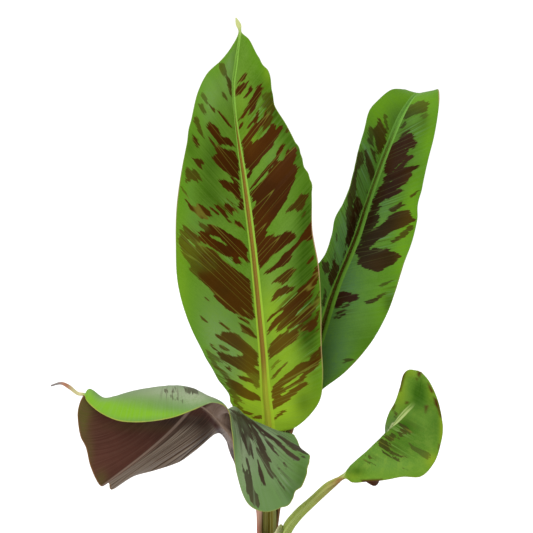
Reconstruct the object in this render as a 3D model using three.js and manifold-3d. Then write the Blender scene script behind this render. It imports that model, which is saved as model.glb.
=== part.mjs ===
// A young blood banana in a plain clay pot: four spotted leaves on a short false stem.
// Millimetres, +Z up. The origin is the middle of the pot's flat underside. The main leaf
// shows its upper side towards -Y, the drooping leaf goes to -X and the small leaf to +X.
import * as THREE from "three";
import { mergeVertices } from "three/addons/utils/BufferGeometryUtils.js";
import Module from "manifold-3d";

const wasm = await Module();
wasm.setup();

// Clearance between pieces that touch.
const GAP = 0.3;

// Pot and soil.
const POT_HEIGHT = 122;
const POT_TOP_RADIUS = 70;
const POT_FOOT_RADIUS = 48;
const POT_WALL = 5;
const POT_FLOOR = 7;
const RIM_HEIGHT = 24;
const RIM_OVERHANG = 4;
const DRAIN_RADIUS = 4;
const DRAIN_RING = 27;
const DRAINS = 4;
const DRAIN_SIDES = 16;
const EDGE_ROUNDING = 2;
const TURNED_SIDES = 48;
const SOIL_LEVEL = 110;
const SOIL_DOME = 4;
const MOUND_RADIUS = 20;
const MOUND_FOOT_RADIUS = 32;

// False stem, made of rolled sheaths.
const STEM_FOOT = 88;
const STEM_TOP = 178;
const STEM_SIDES = 32;
const STEM_ROWS = 10;
const STEM_RADIUS = 10.2;
const STEM_SWELL = 3.6;
const SWELL_LEVEL = 104;
const SWELL_HEIGHT = 30;
const SHEATHS = 5;
const SHEATH_STEP = 0.9;
const SHEATH_TWIST = 1.1;
const OLD_SHEATH_RISE = 9;
const OLD_SHEATH_ANGLE = -0.5;
const OPEN_TOP_DIP = 2;
const HOLE_GAP = 0.45;

// Leaves. Columns on the midrib are in half widths of the rib, those on the blade and on the
// petiole are shares of their width, and each station's vein has a point at every third.
const SKIN = 0.9;
const PETIOLE_SKIN = 1.8;
const PETIOLE_CUP = 0.55;
const PETIOLE_COLUMNS = [0.36, 0.72, 1];
const THIRDS = [1 / 3, 2 / 3, 1];
const TROUGH_REACH = 40;
const TAIL_HALF_WIDTH = 0.8;
const TAIL_END_SHARE = 0.6;
const TIP_RIB = [0.4, 0.3, 0];
const TAIL_RIB = [0.3, 0.2, 0];
const RIB_COLUMNS = [0.6, 1.3];
const RIB_LIP = 0.35;
const BLADE_COLUMNS = [0.26, 0.52, 0.78, 1];
const BEYOND_RIB = 9;
const WIDEST_RIB_SHARE = 0.48;

// A petiole station: middle, direction that the channel faces, and half width of the channel.
const petioleAt = (mid, facing, half) => ({ mid, facing, half });

// Each leaf has petiole stations from the foot up, blade stations from the base to the tip,
// and tail stations past the tip. A blade station is one pair of side veins: the point where
// they leave the midrib, then the left and the right vein, seen on the upper side with the
// tip up. A vein is its end on the margin, or three points: inner, outer and end.
// rib gives the midrib's half width, its depth below and its groove at base and tip.
const MAIN_LEAF = {
  colour: 0x6f9a38,
  petiole: [
    petioleAt([-0.5, 1.8, 164], [0, -1, 0], 4.6),
    petioleAt([-0.5, 2.6, 182], [0, -1, 0], 5.4),
    petioleAt([-0.4, 4.6, 205], [0, -1, 0.1], 5.2),
    petioleAt([-0.3, 6, 232], [0, -1, 0.1], 5.1),
  ],
  blade: [
    [[-0.3, 7, 254], [-5.9, 5.4, 255], [5.3, 5.4, 255]],
    [[-0.5, 7.5, 260], [-19, 3.5, 264.5], [21, 3.5, 260.8]],
    [[-1, 8, 268], [-29.5, 1, 279.5], [38, 2, 279.5]],
    [[-2.3, 9, 279], [-41.9, 0, 302.5], [41, 3, 297]],
    [[-3.4, 10, 294.5], [-60.2, 0, 338], [40, 5, 324.5]],
    [[-4.6, 12, 314], [-69.3, 2, 369], [39.7, 9, 354]],
    [[-7, 14, 340], [-71, 5, 400], [37.8, 10, 383.5]],
    [[-9.6, 17, 367.5], [-70.5, 9, 428], [33.2, 10, 410.5]],
    [[-12.5, 19, 395], [-67.2, 12, 454], [31.8, 11, 447]],
    [[-16, 21, 423], [-63, 15, 476], [24.5, 14, 468]],
    [[-19.4, 23, 449], [-59, 17, 497.5], [14, 18, 490]],
    [[-23, 25, 473.5], [-54.4, 20, 516.5], [3.6, 21, 508]],
    [[-26, 26, 496.5], [-46.8, 22, 531.5], [0.3, 22, 531]],
    [[-27.6, 27, 518], [-37.2, 24, 540.5], [-9.2, 24, 545.5]],
    [[-25.2, 28, 538], [-29.4, 27, 550.5], [-15.2, 26, 557]],
    [[-22.3, 29, 562.5], [-23.4, 29, 563], [-21.2, 29, 563]],
  ],
  tail: [
    [-23.4, 30, 568.5],
    [-25.4, 31, 574],
  ],
  rib: { base: [5.4, 2.8, 0.9], tip: [1, 0.5, 0.1] },
  trough: 3,
  rows: 34,
};

const REAR_LEAF = {
  colour: 0x4f8d35,
  petiole: [
    petioleAt([0.4, 8.4, 166], [0, -1, 0], 4.2),
    petioleAt([1.6, 9.4, 182], [0, -1, 0], 4.4),
    petioleAt([5.4, 13.2, 207], [-0.1, -1, 0.2], 4.2),
    petioleAt([9, 18, 234.5], [-0.2, -1, 0.3], 4.2),
    petioleAt([15.8, 26.5, 261], [-0.2, -1, 0.3], 4.2),
  ],
  blade: [
    [[24.7, 32, 279.5], [20, 30.6, 281.5], [29.5, 30.6, 278]],
    [[27, 34, 287.5], [16, 30, 292], [42.5, 31, 289]],
    [[30, 37, 299], [14, 29, 309], [59.5, 32, 302]],
    [[35, 41, 316.5], [15.5, 27, 333.5], [78.2, 35, 323]],
    [[41.5, 45, 337], [21.5, 25, 357], [90.8, 39, 345]],
    [[47.5, 49, 356.5], [32.5, 25, 377.5], [98.3, 43, 364.5]],
    [[53.5, 52, 373], [44.2, 24, 393.5], [104.5, 46, 384.5]],
    [[61.5, 55, 391.5], [51.4, 25, 420.5], [111, 48, 402]],
    [[68, 57, 408], [57.3, 26, 431.5], [115.3, 49, 420]],
    [[74, 59, 426.5], [64, 29, 450.5], [118.7, 51, 442]],
    [[81, 61, 446], [68.6, 33, 471], [123.8, 54, 465.5]],
    [[88.2, 63, 465], [73.4, 39, 487], [128.3, 58, 482.5]],
    [[95.3, 65, 482], [77.5, 47, 503], [132, 63, 502.5]],
    [[102.4, 68, 498], [86.4, 57, 513.5], [133.4, 70, 513]],
    [[108, 73, 507.5], [95.4, 68, 520.5], [133.5, 78, 520.5]],
    [[113.4, 81, 515], [104.6, 81, 521.5], [132.4, 88, 522.4]],
    [[118.6, 92, 519], [111.5, 95, 521], [130.6, 98, 521.5]],
    [[123.8, 104, 517.5], [119.5, 106, 518.5], [130.3, 107, 517]],
    [[128.3, 115, 508], [127.2, 115, 508], [129.4, 115, 508]],
  ],
  tail: [
    [131, 121, 499.5],
    [132, 124, 492],
  ],
  rib: { base: [4, 2.4, 0.8], tip: [0.9, 0.5, 0.1] },
  trough: 3,
  rows: 36,
};

const DROOPING_LEAF = {
  colour: 0x6b4436,
  petiole: [
    petioleAt([-6.4, -4, 164], [0.95, 0.3, 0], 2.5),
    petioleAt([-6.9, -4.2, 180], [0.95, 0.3, 0.1], 2.5),
    petioleAt([-7.9, -4.9, 200], [0.9, 0.3, 0.4], 2.8),
    petioleAt([-14, -8, 219.5], [0.85, 0.2, 0.6], 3.6),
  ],
  blade: [
    [[-19.7, -11, 230], [-19, -15.2, 232], [-19.6, -6.6, 230.6]],
    [
      [-21.2, -12, 235.5],
      [[-17.4, -14, 251.5], [-5.3, -16, 258.5], [17.2, -14, 256.4]],
      [[-22, -9, 233], [-22.7, -6, 230.5], [-23.5, -3, 228]],
    ],
    [
      [-22.7, -13, 240],
      [[-19.6, -18, 263.5], [-0.8, -24, 262], [22.2, -24, 249.3]],
      [[-23.5, -7, 236.7], [-24.3, 0, 233.2], [-25.1, 6, 229.8]],
    ],
    [
      [-24.2, -14, 244.5],
      [[-22, -20, 270.5], [-0.8, -33, 258.5], [30, -32, 240.5]],
      [[-25, -6, 241.2], [-25.9, 3, 237.6], [-26.7, 13, 234]],
    ],
    [
      [-25.7, -15, 248.5],
      [[-23.3, -24, 275.3], [-5.3, -40, 253], [26.7, -42, 223]],
      [[-26.5, -5, 245], [-27.4, 7, 241], [-28.7, 19, 238]],
    ],
    [
      [-27.6, -16, 253],
      [[-24.8, -28, 276.3], [-9.7, -46, 250], [16.3, -50, 208.4]],
      [[-28.8, -4, 249.5], [-29.8, 10, 245.6], [-30.7, 24, 242.5]],
    ],
    [
      [-29.8, -17, 257],
      [[-26.3, -33, 276.2], [-15, -52, 249], [-0.8, -56, 200.5]],
      [[-31, -3, 254], [-32, 12, 250.8], [-33, 28, 249]],
    ],
    [
      [-32.5, -17.5, 260.3],
      [[-28.5, -38, 275.2], [-19.3, -56, 252.3], [-14.6, -60, 205.5]],
      [[-34.2, -2, 258.4], [-36, 14, 256.8], [-38.6, 29, 254.4]],
    ],
    [
      [-35.5, -18, 263.7],
      [[-30.7, -40, 273.8], [-24.5, -58, 262.8], [-23.8, -64, 228.5]],
      [[-41.8, 0, 257.5], [-50.4, 14, 249], [-69, 24, 232.6]],
    ],
    [
      [-39.2, -18, 268.3],
      [[-35.2, -40, 273.8], [-29.7, -58, 274.6], [-27.4, -68, 260.3]],
      [[-48.6, -2, 257.6], [-71.6, 6, 241.2], [-105, 12, 221.3]],
    ],
    [
      [-43.8, -18, 272.8],
      [[-41.2, -38, 280.7], [-36.4, -56, 282.2], [-31, -70, 277.4]],
      [[-59, -6, 257], [-84.3, -1, 238.6], [-118.7, 2, 213.3]],
    ],
    [
      [-49, -18, 276.6],
      [[-47.9, -36, 285.8], [-45.4, -54, 286], [-40.7, -69, 282.2]],
      [[-66.7, -8, 258], [-91.7, -6, 238], [-122, -5, 218.3]],
    ],
    [
      [-56.6, -17, 280.3],
      [[-57.7, -34, 291.2], [-57.3, -53, 288.5], [-54.7, -68, 277.3]],
      [[-75, -11, 258.8], [-98.4, -10, 238.4], [-127.2, -10, 216.4]],
    ],
    [
      [-67.2, -16.5, 282.5],
      [[-69.8, -32, 292.9], [-70, -51, 290], [-68.8, -66, 271.7]],
      [[-84.7, -12, 260.4], [-105.8, -13, 243.8], [-134.8, -13, 231]],
    ],
    [
      [-77.8, -16, 283.3],
      [[-80.3, -30, 292], [-82, -48, 289], [-84.4, -63, 268.2]],
      [[-93, -13, 264.2], [-112.6, -14.5, 250], [-138.3, -15, 246]],
    ],
    [
      [-90, -15, 283.6],
      [[-92.4, -28, 290.5], [-94.7, -45, 287.5], [-98.7, -58, 267]],
      [[-104.3, -13, 268], [-122.4, -15, 256.8], [-142.2, -16, 254]],
    ],
    [
      [-102, -14, 282.4],
      [[-104.6, -25, 288.2], [-107, -39, 284.2], [-111.6, -51, 267.8]],
      [[-115, -13, 271], [-130, -15, 263.6], [-144.2, -16, 265]],
    ],
    [
      [-113.4, -13, 280],
      [[-116, -21.5, 284.6], [-118.5, -32, 281.7], [-123.3, -40, 271.6]],
      [[-123.2, -13, 273.3], [-134.5, -14.5, 269], [-144.5, -15.5, 272.7]],
    ],
    [
      [-123.2, -12.5, 281],
      [[-125.3, -17.5, 283.3], [-128, -24, 280.6], [-132.2, -28, 276.6]],
      [[-129.3, -12.5, 277], [-136.8, -14, 275], [-142.8, -14.5, 280.2]],
    ],
    [
      [-135.6, -12, 289.6],
      [[-136.6, -14, 288.4], [-136.7, -16, 284.8], [-138, -18, 281.8]],
      [[-135.4, -12, 287.3], [-137.6, -13, 285.8], [-140.6, -13.5, 284.7]],
    ],
    [[-139.5, -13, 285.8], [-139.5, -13.9, 285], [-139.5, -12.1, 286.6]],
  ],
  tail: [
    [-144.4, -13, 286.5],
    [-151, -14, 291.5],
    [-157, -16, 294.4],
    [-164.4, -19, 292.7],
  ],
  rib: { base: [2.4, 1.4, 0.5], tip: [0.9, 0.5, 0.1] },
  trough: 0,
  rows: 46,
};

const SMALL_LEAF = {
  colour: 0x6fa03c,
  petiole: [
    petioleAt([6.6, -3.8, 150], [-0.85, 0.5, 0.3], 4.2),
    petioleAt([10, -5.4, 166], [-0.8, 0.3, 0.4], 4.6),
    petioleAt([14.4, -7, 182.4], [-0.62, -0.2, 0.72], 6.3),
    petioleAt([22, -10, 193.5], [-0.55, -0.3, 0.78], 5.6),
    petioleAt([33.2, -14, 205], [-0.55, -0.3, 0.78], 4.5),
    petioleAt([45.6, -18, 216.8], [-0.5, -0.35, 0.78], 3.9),
  ],
  blade: [
    [[55.3, -22, 225.4], [53.4, -19.4, 223.9], [57.6, -24.8, 223]],
    [
      [62.4, -24, 229.4],
      [61, -16, 229],
      [[62.3, -27, 233.4], [63, -32, 227.7], [63, -34, 220.6]],
    ],
    [
      [71.4, -27, 237],
      [72, -9, 220.5],
      [[71.2, -31, 241], [72.5, -39, 232.6], [72.3, -44, 222]],
    ],
    [
      [80.3, -29, 246.3],
      [81, -6, 216.4],
      [[81, -34, 249.6], [83.5, -44, 238.2], [85.5, -52, 223.8]],
    ],
    [
      [88.5, -31, 257],
      [88.8, -4, 246.3],
      [[91.3, -36, 257], [96, -48, 243.6], [99.4, -57, 226.4]],
    ],
    [
      [95.2, -32, 266],
      [88.2, -8, 261],
      [[101, -38, 261.7], [108, -50, 246.7], [112.7, -58, 226.8]],
    ],
    [
      [102, -32, 273.8],
      [90.7, -12, 271.8],
      [[109.2, -38, 267], [117.6, -49, 253.4], [122.4, -56, 236.7]],
    ],
    [
      [107.2, -31.5, 278.7],
      [95, -16, 281],
      [[115.2, -36.5, 273.6], [123, -45, 265], [127.8, -52, 251.3]],
    ],
    [
      [111.8, -30.5, 284.6],
      [98.4, -19, 291],
      [[118.3, -35, 279.6], [124.7, -41, 273.8], [129.6, -47, 264.4]],
    ],
    [
      [114, -29, 292.8],
      [101.3, -22, 301.6],
      [[117.7, -32, 291.4], [121.2, -36, 287.8], [125.5, -40, 284.3]],
    ],
    [
      [114.2, -28, 298.8],
      [105.3, -25, 305],
      [[115.6, -29.5, 298], [117.8, -31, 297.4], [120, -32, 296.7]],
    ],
    [[113.4, -27, 303.6], [112.4, -26.6, 304], [114.4, -27.4, 303.2]],
  ],
  tail: [],
  rib: { base: [2.4, 2.4, 0.4], tip: [0.7, 0.4, 0.1] },
  trough: 1,
  rows: 28,
};

const vec = (p) => new THREE.Vector3(...p);

// A smooth line through points, one for each station.
function through(points) {
  return new THREE.CatmullRomCurve3(points, false, "centripetal");
}

// Fills in the inner and outer points of a vein of which only the end is given. The
// trough makes the half blade rise off the midrib before it levels out.
function veinPoints(mid, vein, trough) {
  if (Array.isArray(vein[0])) return vein.map(vec);
  const end = vec(vein);
  const rise = trough * Math.min(1, mid.distanceTo(end) / TROUGH_REACH);
  return THIRDS.map((share) => {
    const point = mid.clone().lerp(end, share);
    point.y -= rise * Math.sin(Math.PI * share);
    return point;
  });
}

// One side of a petiole: points from its middle out to the raised edge of its channel.
function petioleWing(mid, side, up, half) {
  return PETIOLE_COLUMNS.map((share) =>
    mid
      .clone()
      .addScaledVector(side, half * share)
      .addScaledVector(up, PETIOLE_CUP * Math.abs(half) * share ** 2),
  );
}

// One side of the tail: points from its middle out to its edge.
function tailWing(mid, side, half) {
  return THIRDS.map((share) => mid.clone().addScaledVector(side, half * share));
}

// Turns a leaf's description into one list of stations from the petiole's foot to the tail.
function stationsOf(leaf) {
  const mids = [
    ...leaf.petiole.map((p) => vec(p.mid)),
    ...leaf.blade.map((row) => vec(row[0])),
    ...leaf.tail.map(vec),
  ];
  const bladeStart = leaf.petiole.length;
  const bladeEnd = bladeStart + leaf.blade.length - 1;
  const last = leaf.blade.at(-1);
  const tailSide = vec(last[2]).sub(vec(last[1])).normalize();
  const { base, tip } = leaf.rib;
  return mids.map((mid, i) => {
    const grown = THREE.MathUtils.clamp((i - bladeStart) / (bladeEnd - bladeStart), 0, 1);
    const rib = base.map((b, k) => THREE.MathUtils.lerp(b, tip[k], grown));
    if (i < bladeStart) {
      const { facing, half } = leaf.petiole[i];
      const along = mids[i + 1].clone().sub(mids[Math.max(0, i - 1)]).normalize();
      const up = vec(facing).addScaledVector(along, -vec(facing).dot(along)).normalize();
      const side = along.clone().cross(up);
      const left = petioleWing(mid, side, up, -half);
      return { mid, left, right: petioleWing(mid, side, up, half), rib, skin: PETIOLE_SKIN };
    }
    if (i > bladeEnd) {
      const half = TAIL_HALF_WIDTH * (i === mids.length - 1 ? TAIL_END_SHARE : 1);
      const left = tailWing(mid, tailSide, -half);
      return { mid, left, right: tailWing(mid, tailSide, half), rib: TAIL_RIB, skin: SKIN };
    }
    const row = leaf.blade[i - bladeStart];
    return {
      mid,
      left: veinPoints(mid, row[1], leaf.trough),
      right: veinPoints(mid, row[2], leaf.trough),
      rib: row === last ? TIP_RIB : rib,
      skin: i === bladeStart ? (SKIN + PETIOLE_SKIN) / 2 : SKIN,
    };
  });
}

// The leaf as a sheet: point(u, t) with u from foot to tail and t from -1, the left margin,
// over 0, the midrib, to 1, the right margin.
function sheetOf(leaf) {
  const stations = stationsOf(leaf);
  const midrib = through(stations.map((s) => s.mid));
  const sides = ["left", "right"].map((side) =>
    [0, 1, 2].map((k) => through(stations.map((s) => s[side][k]))),
  );
  const section = through(stations.map((s) => vec(s.rib)));
  const skins = through(stations.map((s, i) => new THREE.Vector3(i, s.skin, 0)));
  const point = (u, t) => {
    const share = Math.abs(t);
    const [inner, outer, end] = sides[t < 0 ? 0 : 1].map((line) => line.getPoint(u));
    const knots = [midrib.getPoint(u), inner, outer, end];
    const weights = [
      ((1 - 3 * share) * (2 - 3 * share) * (1 - share)) / 2,
      (9 * share * (2 - 3 * share) * (1 - share)) / 2,
      (-9 * share * (1 - 3 * share) * (1 - share)) / 2,
      (share * (1 - 3 * share) * (2 - 3 * share)) / 2,
    ];
    return knots.reduce((sum, p, k) => sum.addScaledVector(p, weights[k]), new THREE.Vector3());
  };
  const normal = (u, t) => {
    const stepAlong = 0.004;
    const stepAcross = 0.03;
    const along = point(Math.min(1, u + stepAlong), t).sub(point(Math.max(0, u - stepAlong), t));
    const right = point(u, Math.min(1, t + stepAcross));
    const left = point(u, Math.max(-1, t - stepAcross));
    return right.sub(left).cross(along).normalize();
  };
  const length = (u, sign) => point(u, sign).distanceTo(midrib.getPoint(u));
  return {
    point,
    normal,
    length,
    rib: (u) => section.getPoint(u).toArray(),
    skin: (u) => skins.getPoint(u).y,
  };
}

// Where the columns lie from the left margin to the right: a few across the midrib, the rest
// over the blade. t is the share of the half blade, and x the distance from the middle of the
// midrib in half widths of it.
function columnsAt(sheet, u) {
  const half = (sign) => {
    const ribShare = Math.min(WIDEST_RIB_SHARE, sheet.rib(u)[0] / sheet.length(u, sign));
    const edge = ribShare * RIB_COLUMNS.at(-1);
    const inner = RIB_COLUMNS.map((x) => ({ t: sign * x * ribShare, x }));
    const outer = BLADE_COLUMNS.map((c) => ({ t: sign * (edge + (1 - edge) * c), x: BEYOND_RIB }));
    return [...inner, ...outer];
  };
  return [...half(-1).reverse(), { t: 0, x: 0 }, ...half(1)];
}

// A closed solid from a grid of front points and a grid of back points, which are split
// into triangles along the same diagonals.
function solidGrid(front, back) {
  const rows = front.length;
  const columns = front[0].length;
  const positions = [...front.flat(), ...back.flat()].flatMap((p) => [p.x, p.y, p.z]);
  const at = (face, i, j) => (face * rows + i) * columns + j;
  const index = [];
  const quad = (a, b, c, d) => index.push(a, b, c, a, c, d);
  for (let i = 0; i < rows - 1; i++) {
    for (let j = 0; j < columns - 1; j++) {
      quad(at(0, i, j), at(0, i, j + 1), at(0, i + 1, j + 1), at(0, i + 1, j));
      const [a, b] = [at(1, i, j), at(1, i, j + 1)];
      const [c, d] = [at(1, i + 1, j + 1), at(1, i + 1, j)];
      index.push(a, c, b, a, d, c);
    }
  }
  const end = columns - 1;
  for (let i = 0; i < rows - 1; i++) {
    quad(at(1, i, 0), at(0, i, 0), at(0, i + 1, 0), at(1, i + 1, 0));
    quad(at(0, i, end), at(1, i, end), at(1, i + 1, end), at(0, i + 1, end));
  }
  const top = rows - 1;
  for (let j = 0; j < columns - 1; j++) {
    quad(at(1, 0, j), at(1, 0, j + 1), at(0, 0, j + 1), at(0, 0, j));
    quad(at(0, top, j), at(0, top, j + 1), at(1, top, j + 1), at(1, top, j));
  }
  return new THREE.BufferGeometry()
    .setAttribute("position", new THREE.Float32BufferAttribute(positions, 3))
    .setIndex(index);
}

// A leaf's solid, with the midrib grooved on top and ridged below. room thickens it on all
// sides, which gives the hole in the stem that its foot stands in.
function leafGeometry(leaf, room = 0) {
  const sheet = sheetOf(leaf);
  const downwards = sheet.point(0, 0).sub(sheet.point(0.01, 0)).setLength(room);
  const front = [];
  const back = [];
  for (let i = 0; i <= leaf.rows; i++) {
    const u = i / leaf.rows;
    const [, depth, groove] = sheet.rib(u);
    const skin = sheet.skin(u) / 2 + room;
    const row = columnsAt(sheet, u).map(({ t, x }) => {
      const centre = sheet.point(u, t);
      const normal = sheet.normal(u, t);
      const outwards = centre.clone().sub(sheet.point(u, 0.9 * t)).setLength(room);
      if (i === 0) centre.add(downwards);
      if (Math.abs(t) === 1) centre.add(outwards);
      const lip = x < 1 ? -RIB_LIP * groove : 0;
      const dip = x === 0 ? groove : lip;
      const keel = x < 1 ? depth * Math.sqrt(1 - x ** 2) : 0;
      return {
        top: centre.clone().addScaledVector(normal, skin - dip),
        underside: centre.clone().addScaledVector(normal, -skin - keel),
      };
    });
    front.push(row.map((column) => column.top));
    back.push(row.map((column) => column.underside));
  }
  return solidGrid(front, back);
}

// The stem: sheaths rolled round each other, swollen at the foot, with an old sheath
// standing up on one side of the open top.
function stemGeometry() {
  const ring = (z, lift) =>
    Array.from({ length: STEM_SIDES }, (_, k) => {
      const angle = (2 * Math.PI * k) / STEM_SIDES;
      const up = (z - SOIL_LEVEL) / (STEM_TOP - SOIL_LEVEL);
      const swell = STEM_SWELL * Math.exp(-(((z - SWELL_LEVEL) / SWELL_HEIGHT) ** 2));
      const turn = (SHEATHS * angle) / (2 * Math.PI) + SHEATH_TWIST * up;
      const step = SHEATH_STEP * (turn - Math.floor(turn)) ** 2;
      const radius = STEM_RADIUS + swell + step;
      const side = Math.max(0, Math.cos(angle - OLD_SHEATH_ANGLE));
      const height = z + lift * OLD_SHEATH_RISE * side ** 3;
      return new THREE.Vector3(radius * Math.cos(angle), radius * Math.sin(angle), height);
    });
  const rings = Array.from({ length: STEM_ROWS + 1 }, (_, i) => {
    const share = i / STEM_ROWS;
    return ring(THREE.MathUtils.lerp(STEM_FOOT, STEM_TOP, share), share ** 6);
  });
  const positions = rings.flat().flatMap((p) => [p.x, p.y, p.z]);
  positions.push(0, 0, STEM_FOOT, 0, 0, STEM_TOP - OPEN_TOP_DIP);
  const foot = rings.length * STEM_SIDES;
  const top = STEM_ROWS * STEM_SIDES;
  const index = [];
  for (let k = 0; k < STEM_SIDES; k++) {
    const next = (k + 1) % STEM_SIDES;
    for (let low = 0; low < top; low += STEM_SIDES) {
      const high = low + STEM_SIDES;
      index.push(low + k, low + next, high + next, low + k, high + next, high + k);
    }
    index.push(foot, next, k, foot + 1, top + k, top + next);
  }
  return new THREE.BufferGeometry()
    .setAttribute("position", new THREE.Float32BufferAttribute(positions, 3))
    .setIndex(index);
}

// A body of revolution about the pot's axis. The profile runs up the outside.
function turned(profile) {
  const points = profile.map(([radius, height]) => new THREE.Vector2(radius, height));
  return new THREE.LatheGeometry(points, TURNED_SIDES).rotateX(Math.PI / 2);
}

// An upright cylinder, to cut a hole with.
function drill(radius, foot, top, sides) {
  return new THREE.CylinderGeometry(radius, radius, top - foot, sides)
    .rotateX(Math.PI / 2)
    .translate(0, 0, (foot + top) / 2);
}

function toSolid(geometry) {
  const bare = geometry.clone().deleteAttribute("normal").deleteAttribute("uv");
  const merged = mergeVertices(bare, 1e-4);
  const triVerts = new Uint32Array(merged.index.array);
  const vertProperties = merged.attributes.position.array;
  return new wasm.Manifold(new wasm.Mesh({ numProp: 3, vertProperties, triVerts }));
}

function toGeometry(solid) {
  const { vertProperties, triVerts } = solid.getMesh();
  return new THREE.BufferGeometry()
    .setAttribute("position", new THREE.BufferAttribute(vertProperties, 3))
    .setIndex(new THREE.BufferAttribute(triVerts, 1));
}

function largestBody(solid) {
  return solid.decompose().reduce((a, b) => (b.volume() > a.volume() ? b : a));
}

// The pot's outer wall below the rim, and its inner wall.
function outerAt(z) {
  return THREE.MathUtils.lerp(POT_FOOT_RADIUS, POT_TOP_RADIUS - RIM_OVERHANG, z / POT_HEIGHT);
}

function innerAt(z) {
  return outerAt(z) - POT_WALL;
}

function potGeometry() {
  const rimFoot = POT_HEIGHT - RIM_HEIGHT;
  const rounding = EDGE_ROUNDING;
  const body = turned([
    [0, 0],
    [POT_FOOT_RADIUS - rounding, 0],
    [POT_FOOT_RADIUS, rounding],
    [outerAt(rimFoot), rimFoot],
    [POT_TOP_RADIUS - rounding, rimFoot + rounding],
    [POT_TOP_RADIUS, POT_HEIGHT - rounding],
    [POT_TOP_RADIUS - rounding, POT_HEIGHT],
    [innerAt(POT_HEIGHT) + rounding, POT_HEIGHT],
    [innerAt(POT_HEIGHT), POT_HEIGHT - rounding],
    [innerAt(POT_FLOOR), POT_FLOOR],
    [0, POT_FLOOR],
  ]);
  let drained = toSolid(body);
  for (let k = 0; k < DRAINS; k++) {
    const angle = (2 * Math.PI * (k + 0.5)) / DRAINS;
    const hole = drill(DRAIN_RADIUS, -POT_FLOOR, 2 * POT_FLOOR, DRAIN_SIDES);
    hole.translate(DRAIN_RING * Math.cos(angle), DRAIN_RING * Math.sin(angle), 0);
    drained = drained.subtract(toSolid(hole));
  }
  return toGeometry(drained);
}

// The soil fills the pot, is mounded round the stem and has a plain hole for it.
function soilGeometry() {
  const foot = POT_FLOOR + GAP;
  const fill = turned([
    [0, foot],
    [innerAt(foot) - GAP, foot],
    [innerAt(SOIL_LEVEL) - GAP - EDGE_ROUNDING, SOIL_LEVEL - EDGE_ROUNDING],
    [innerAt(SOIL_LEVEL) - GAP - 2 * EDGE_ROUNDING, SOIL_LEVEL],
    [MOUND_FOOT_RADIUS, SOIL_LEVEL + SOIL_DOME / 2],
    [MOUND_RADIUS, SOIL_LEVEL + SOIL_DOME],
    [0, SOIL_LEVEL + SOIL_DOME],
  ]);
  const stemRadius = STEM_RADIUS + STEM_SWELL + SHEATH_STEP;
  const hole = drill(stemRadius + GAP, STEM_FOOT - GAP, POT_HEIGHT, STEM_SIDES);
  return toGeometry(toSolid(fill).subtract(toSolid(hole)));
}

function piece(name, geometry, colour, roughness) {
  const material = new THREE.MeshStandardMaterial({ color: colour, roughness, metalness: 0 });
  const mesh = new THREE.Mesh(geometry, material);
  mesh.name = name;
  return mesh;
}

const plant = new THREE.Group();
const leaves = {
  leaf_main: MAIN_LEAF,
  leaf_rear: REAR_LEAF,
  leaf_drooping: DROOPING_LEAF,
  leaf_small: SMALL_LEAF,
};

// Each petiole's foot stands in a hole of its own in the top of the stem.
let stem = toSolid(stemGeometry());
for (const [name, leaf] of Object.entries(leaves)) {
  plant.add(piece(name, leafGeometry(leaf), leaf.colour, 0.45));
  stem = stem.subtract(toSolid(leafGeometry(leaf, HOLE_GAP)));
}
plant.add(piece("pseudostem", toGeometry(largestBody(stem)), 0x7d7a45, 0.5));
plant.add(piece("soil", soilGeometry(), 0x2e2119, 0.95));
plant.add(piece("pot", potGeometry(), 0xb5623c, 0.8));

export default plant;
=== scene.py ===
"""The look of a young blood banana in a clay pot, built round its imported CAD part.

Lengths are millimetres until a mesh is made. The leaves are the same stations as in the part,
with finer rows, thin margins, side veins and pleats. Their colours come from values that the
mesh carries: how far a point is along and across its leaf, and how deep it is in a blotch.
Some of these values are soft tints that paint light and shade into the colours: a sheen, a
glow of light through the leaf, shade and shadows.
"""

import math

import bmesh
import bpy
import numpy as np
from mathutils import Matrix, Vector


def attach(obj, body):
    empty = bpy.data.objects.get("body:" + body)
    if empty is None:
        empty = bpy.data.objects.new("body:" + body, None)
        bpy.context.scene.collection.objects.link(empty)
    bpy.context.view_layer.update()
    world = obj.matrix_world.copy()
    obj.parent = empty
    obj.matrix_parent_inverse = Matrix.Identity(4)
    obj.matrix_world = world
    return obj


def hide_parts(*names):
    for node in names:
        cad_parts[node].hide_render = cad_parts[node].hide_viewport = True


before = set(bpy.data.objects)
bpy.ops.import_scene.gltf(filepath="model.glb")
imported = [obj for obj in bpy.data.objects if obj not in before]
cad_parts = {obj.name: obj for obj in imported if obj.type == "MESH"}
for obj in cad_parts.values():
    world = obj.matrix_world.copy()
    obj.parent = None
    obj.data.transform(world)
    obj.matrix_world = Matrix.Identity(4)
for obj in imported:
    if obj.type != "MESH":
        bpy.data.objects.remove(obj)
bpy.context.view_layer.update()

MM = 0.001
WAVE_KNOTS = 4096
OCTAVE_SHARE = 0.55

# Camera: level, in front of the plant. One photo pixel is PIXEL wide at the stem.
CAMERA_PLACE = (-1.9, -2400.0, 382.54)
CAMERA_LENS = 213.3
SENSOR_WIDTH = 36.0
PHOTO_SIDE = 533
PIXEL = 0.76

# Studio: one large pale floor, a white world and one wide, soft lamp from the upper left.
FLOOR_HALF = 150.0
FLOOR_PAINT = (0.93, 0.93, 0.93, 1.0)
FLOOR_ROUGHNESS = 0.9
WORLD_LIGHT = (0.3, 1.25)
WORLD_SEEN = 1.1
LAMP_STRENGTH = 2.4
LAMP_WIDTH = math.radians(50)
LAMP_FROM = (-0.45, -0.7, 0.62)

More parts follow.
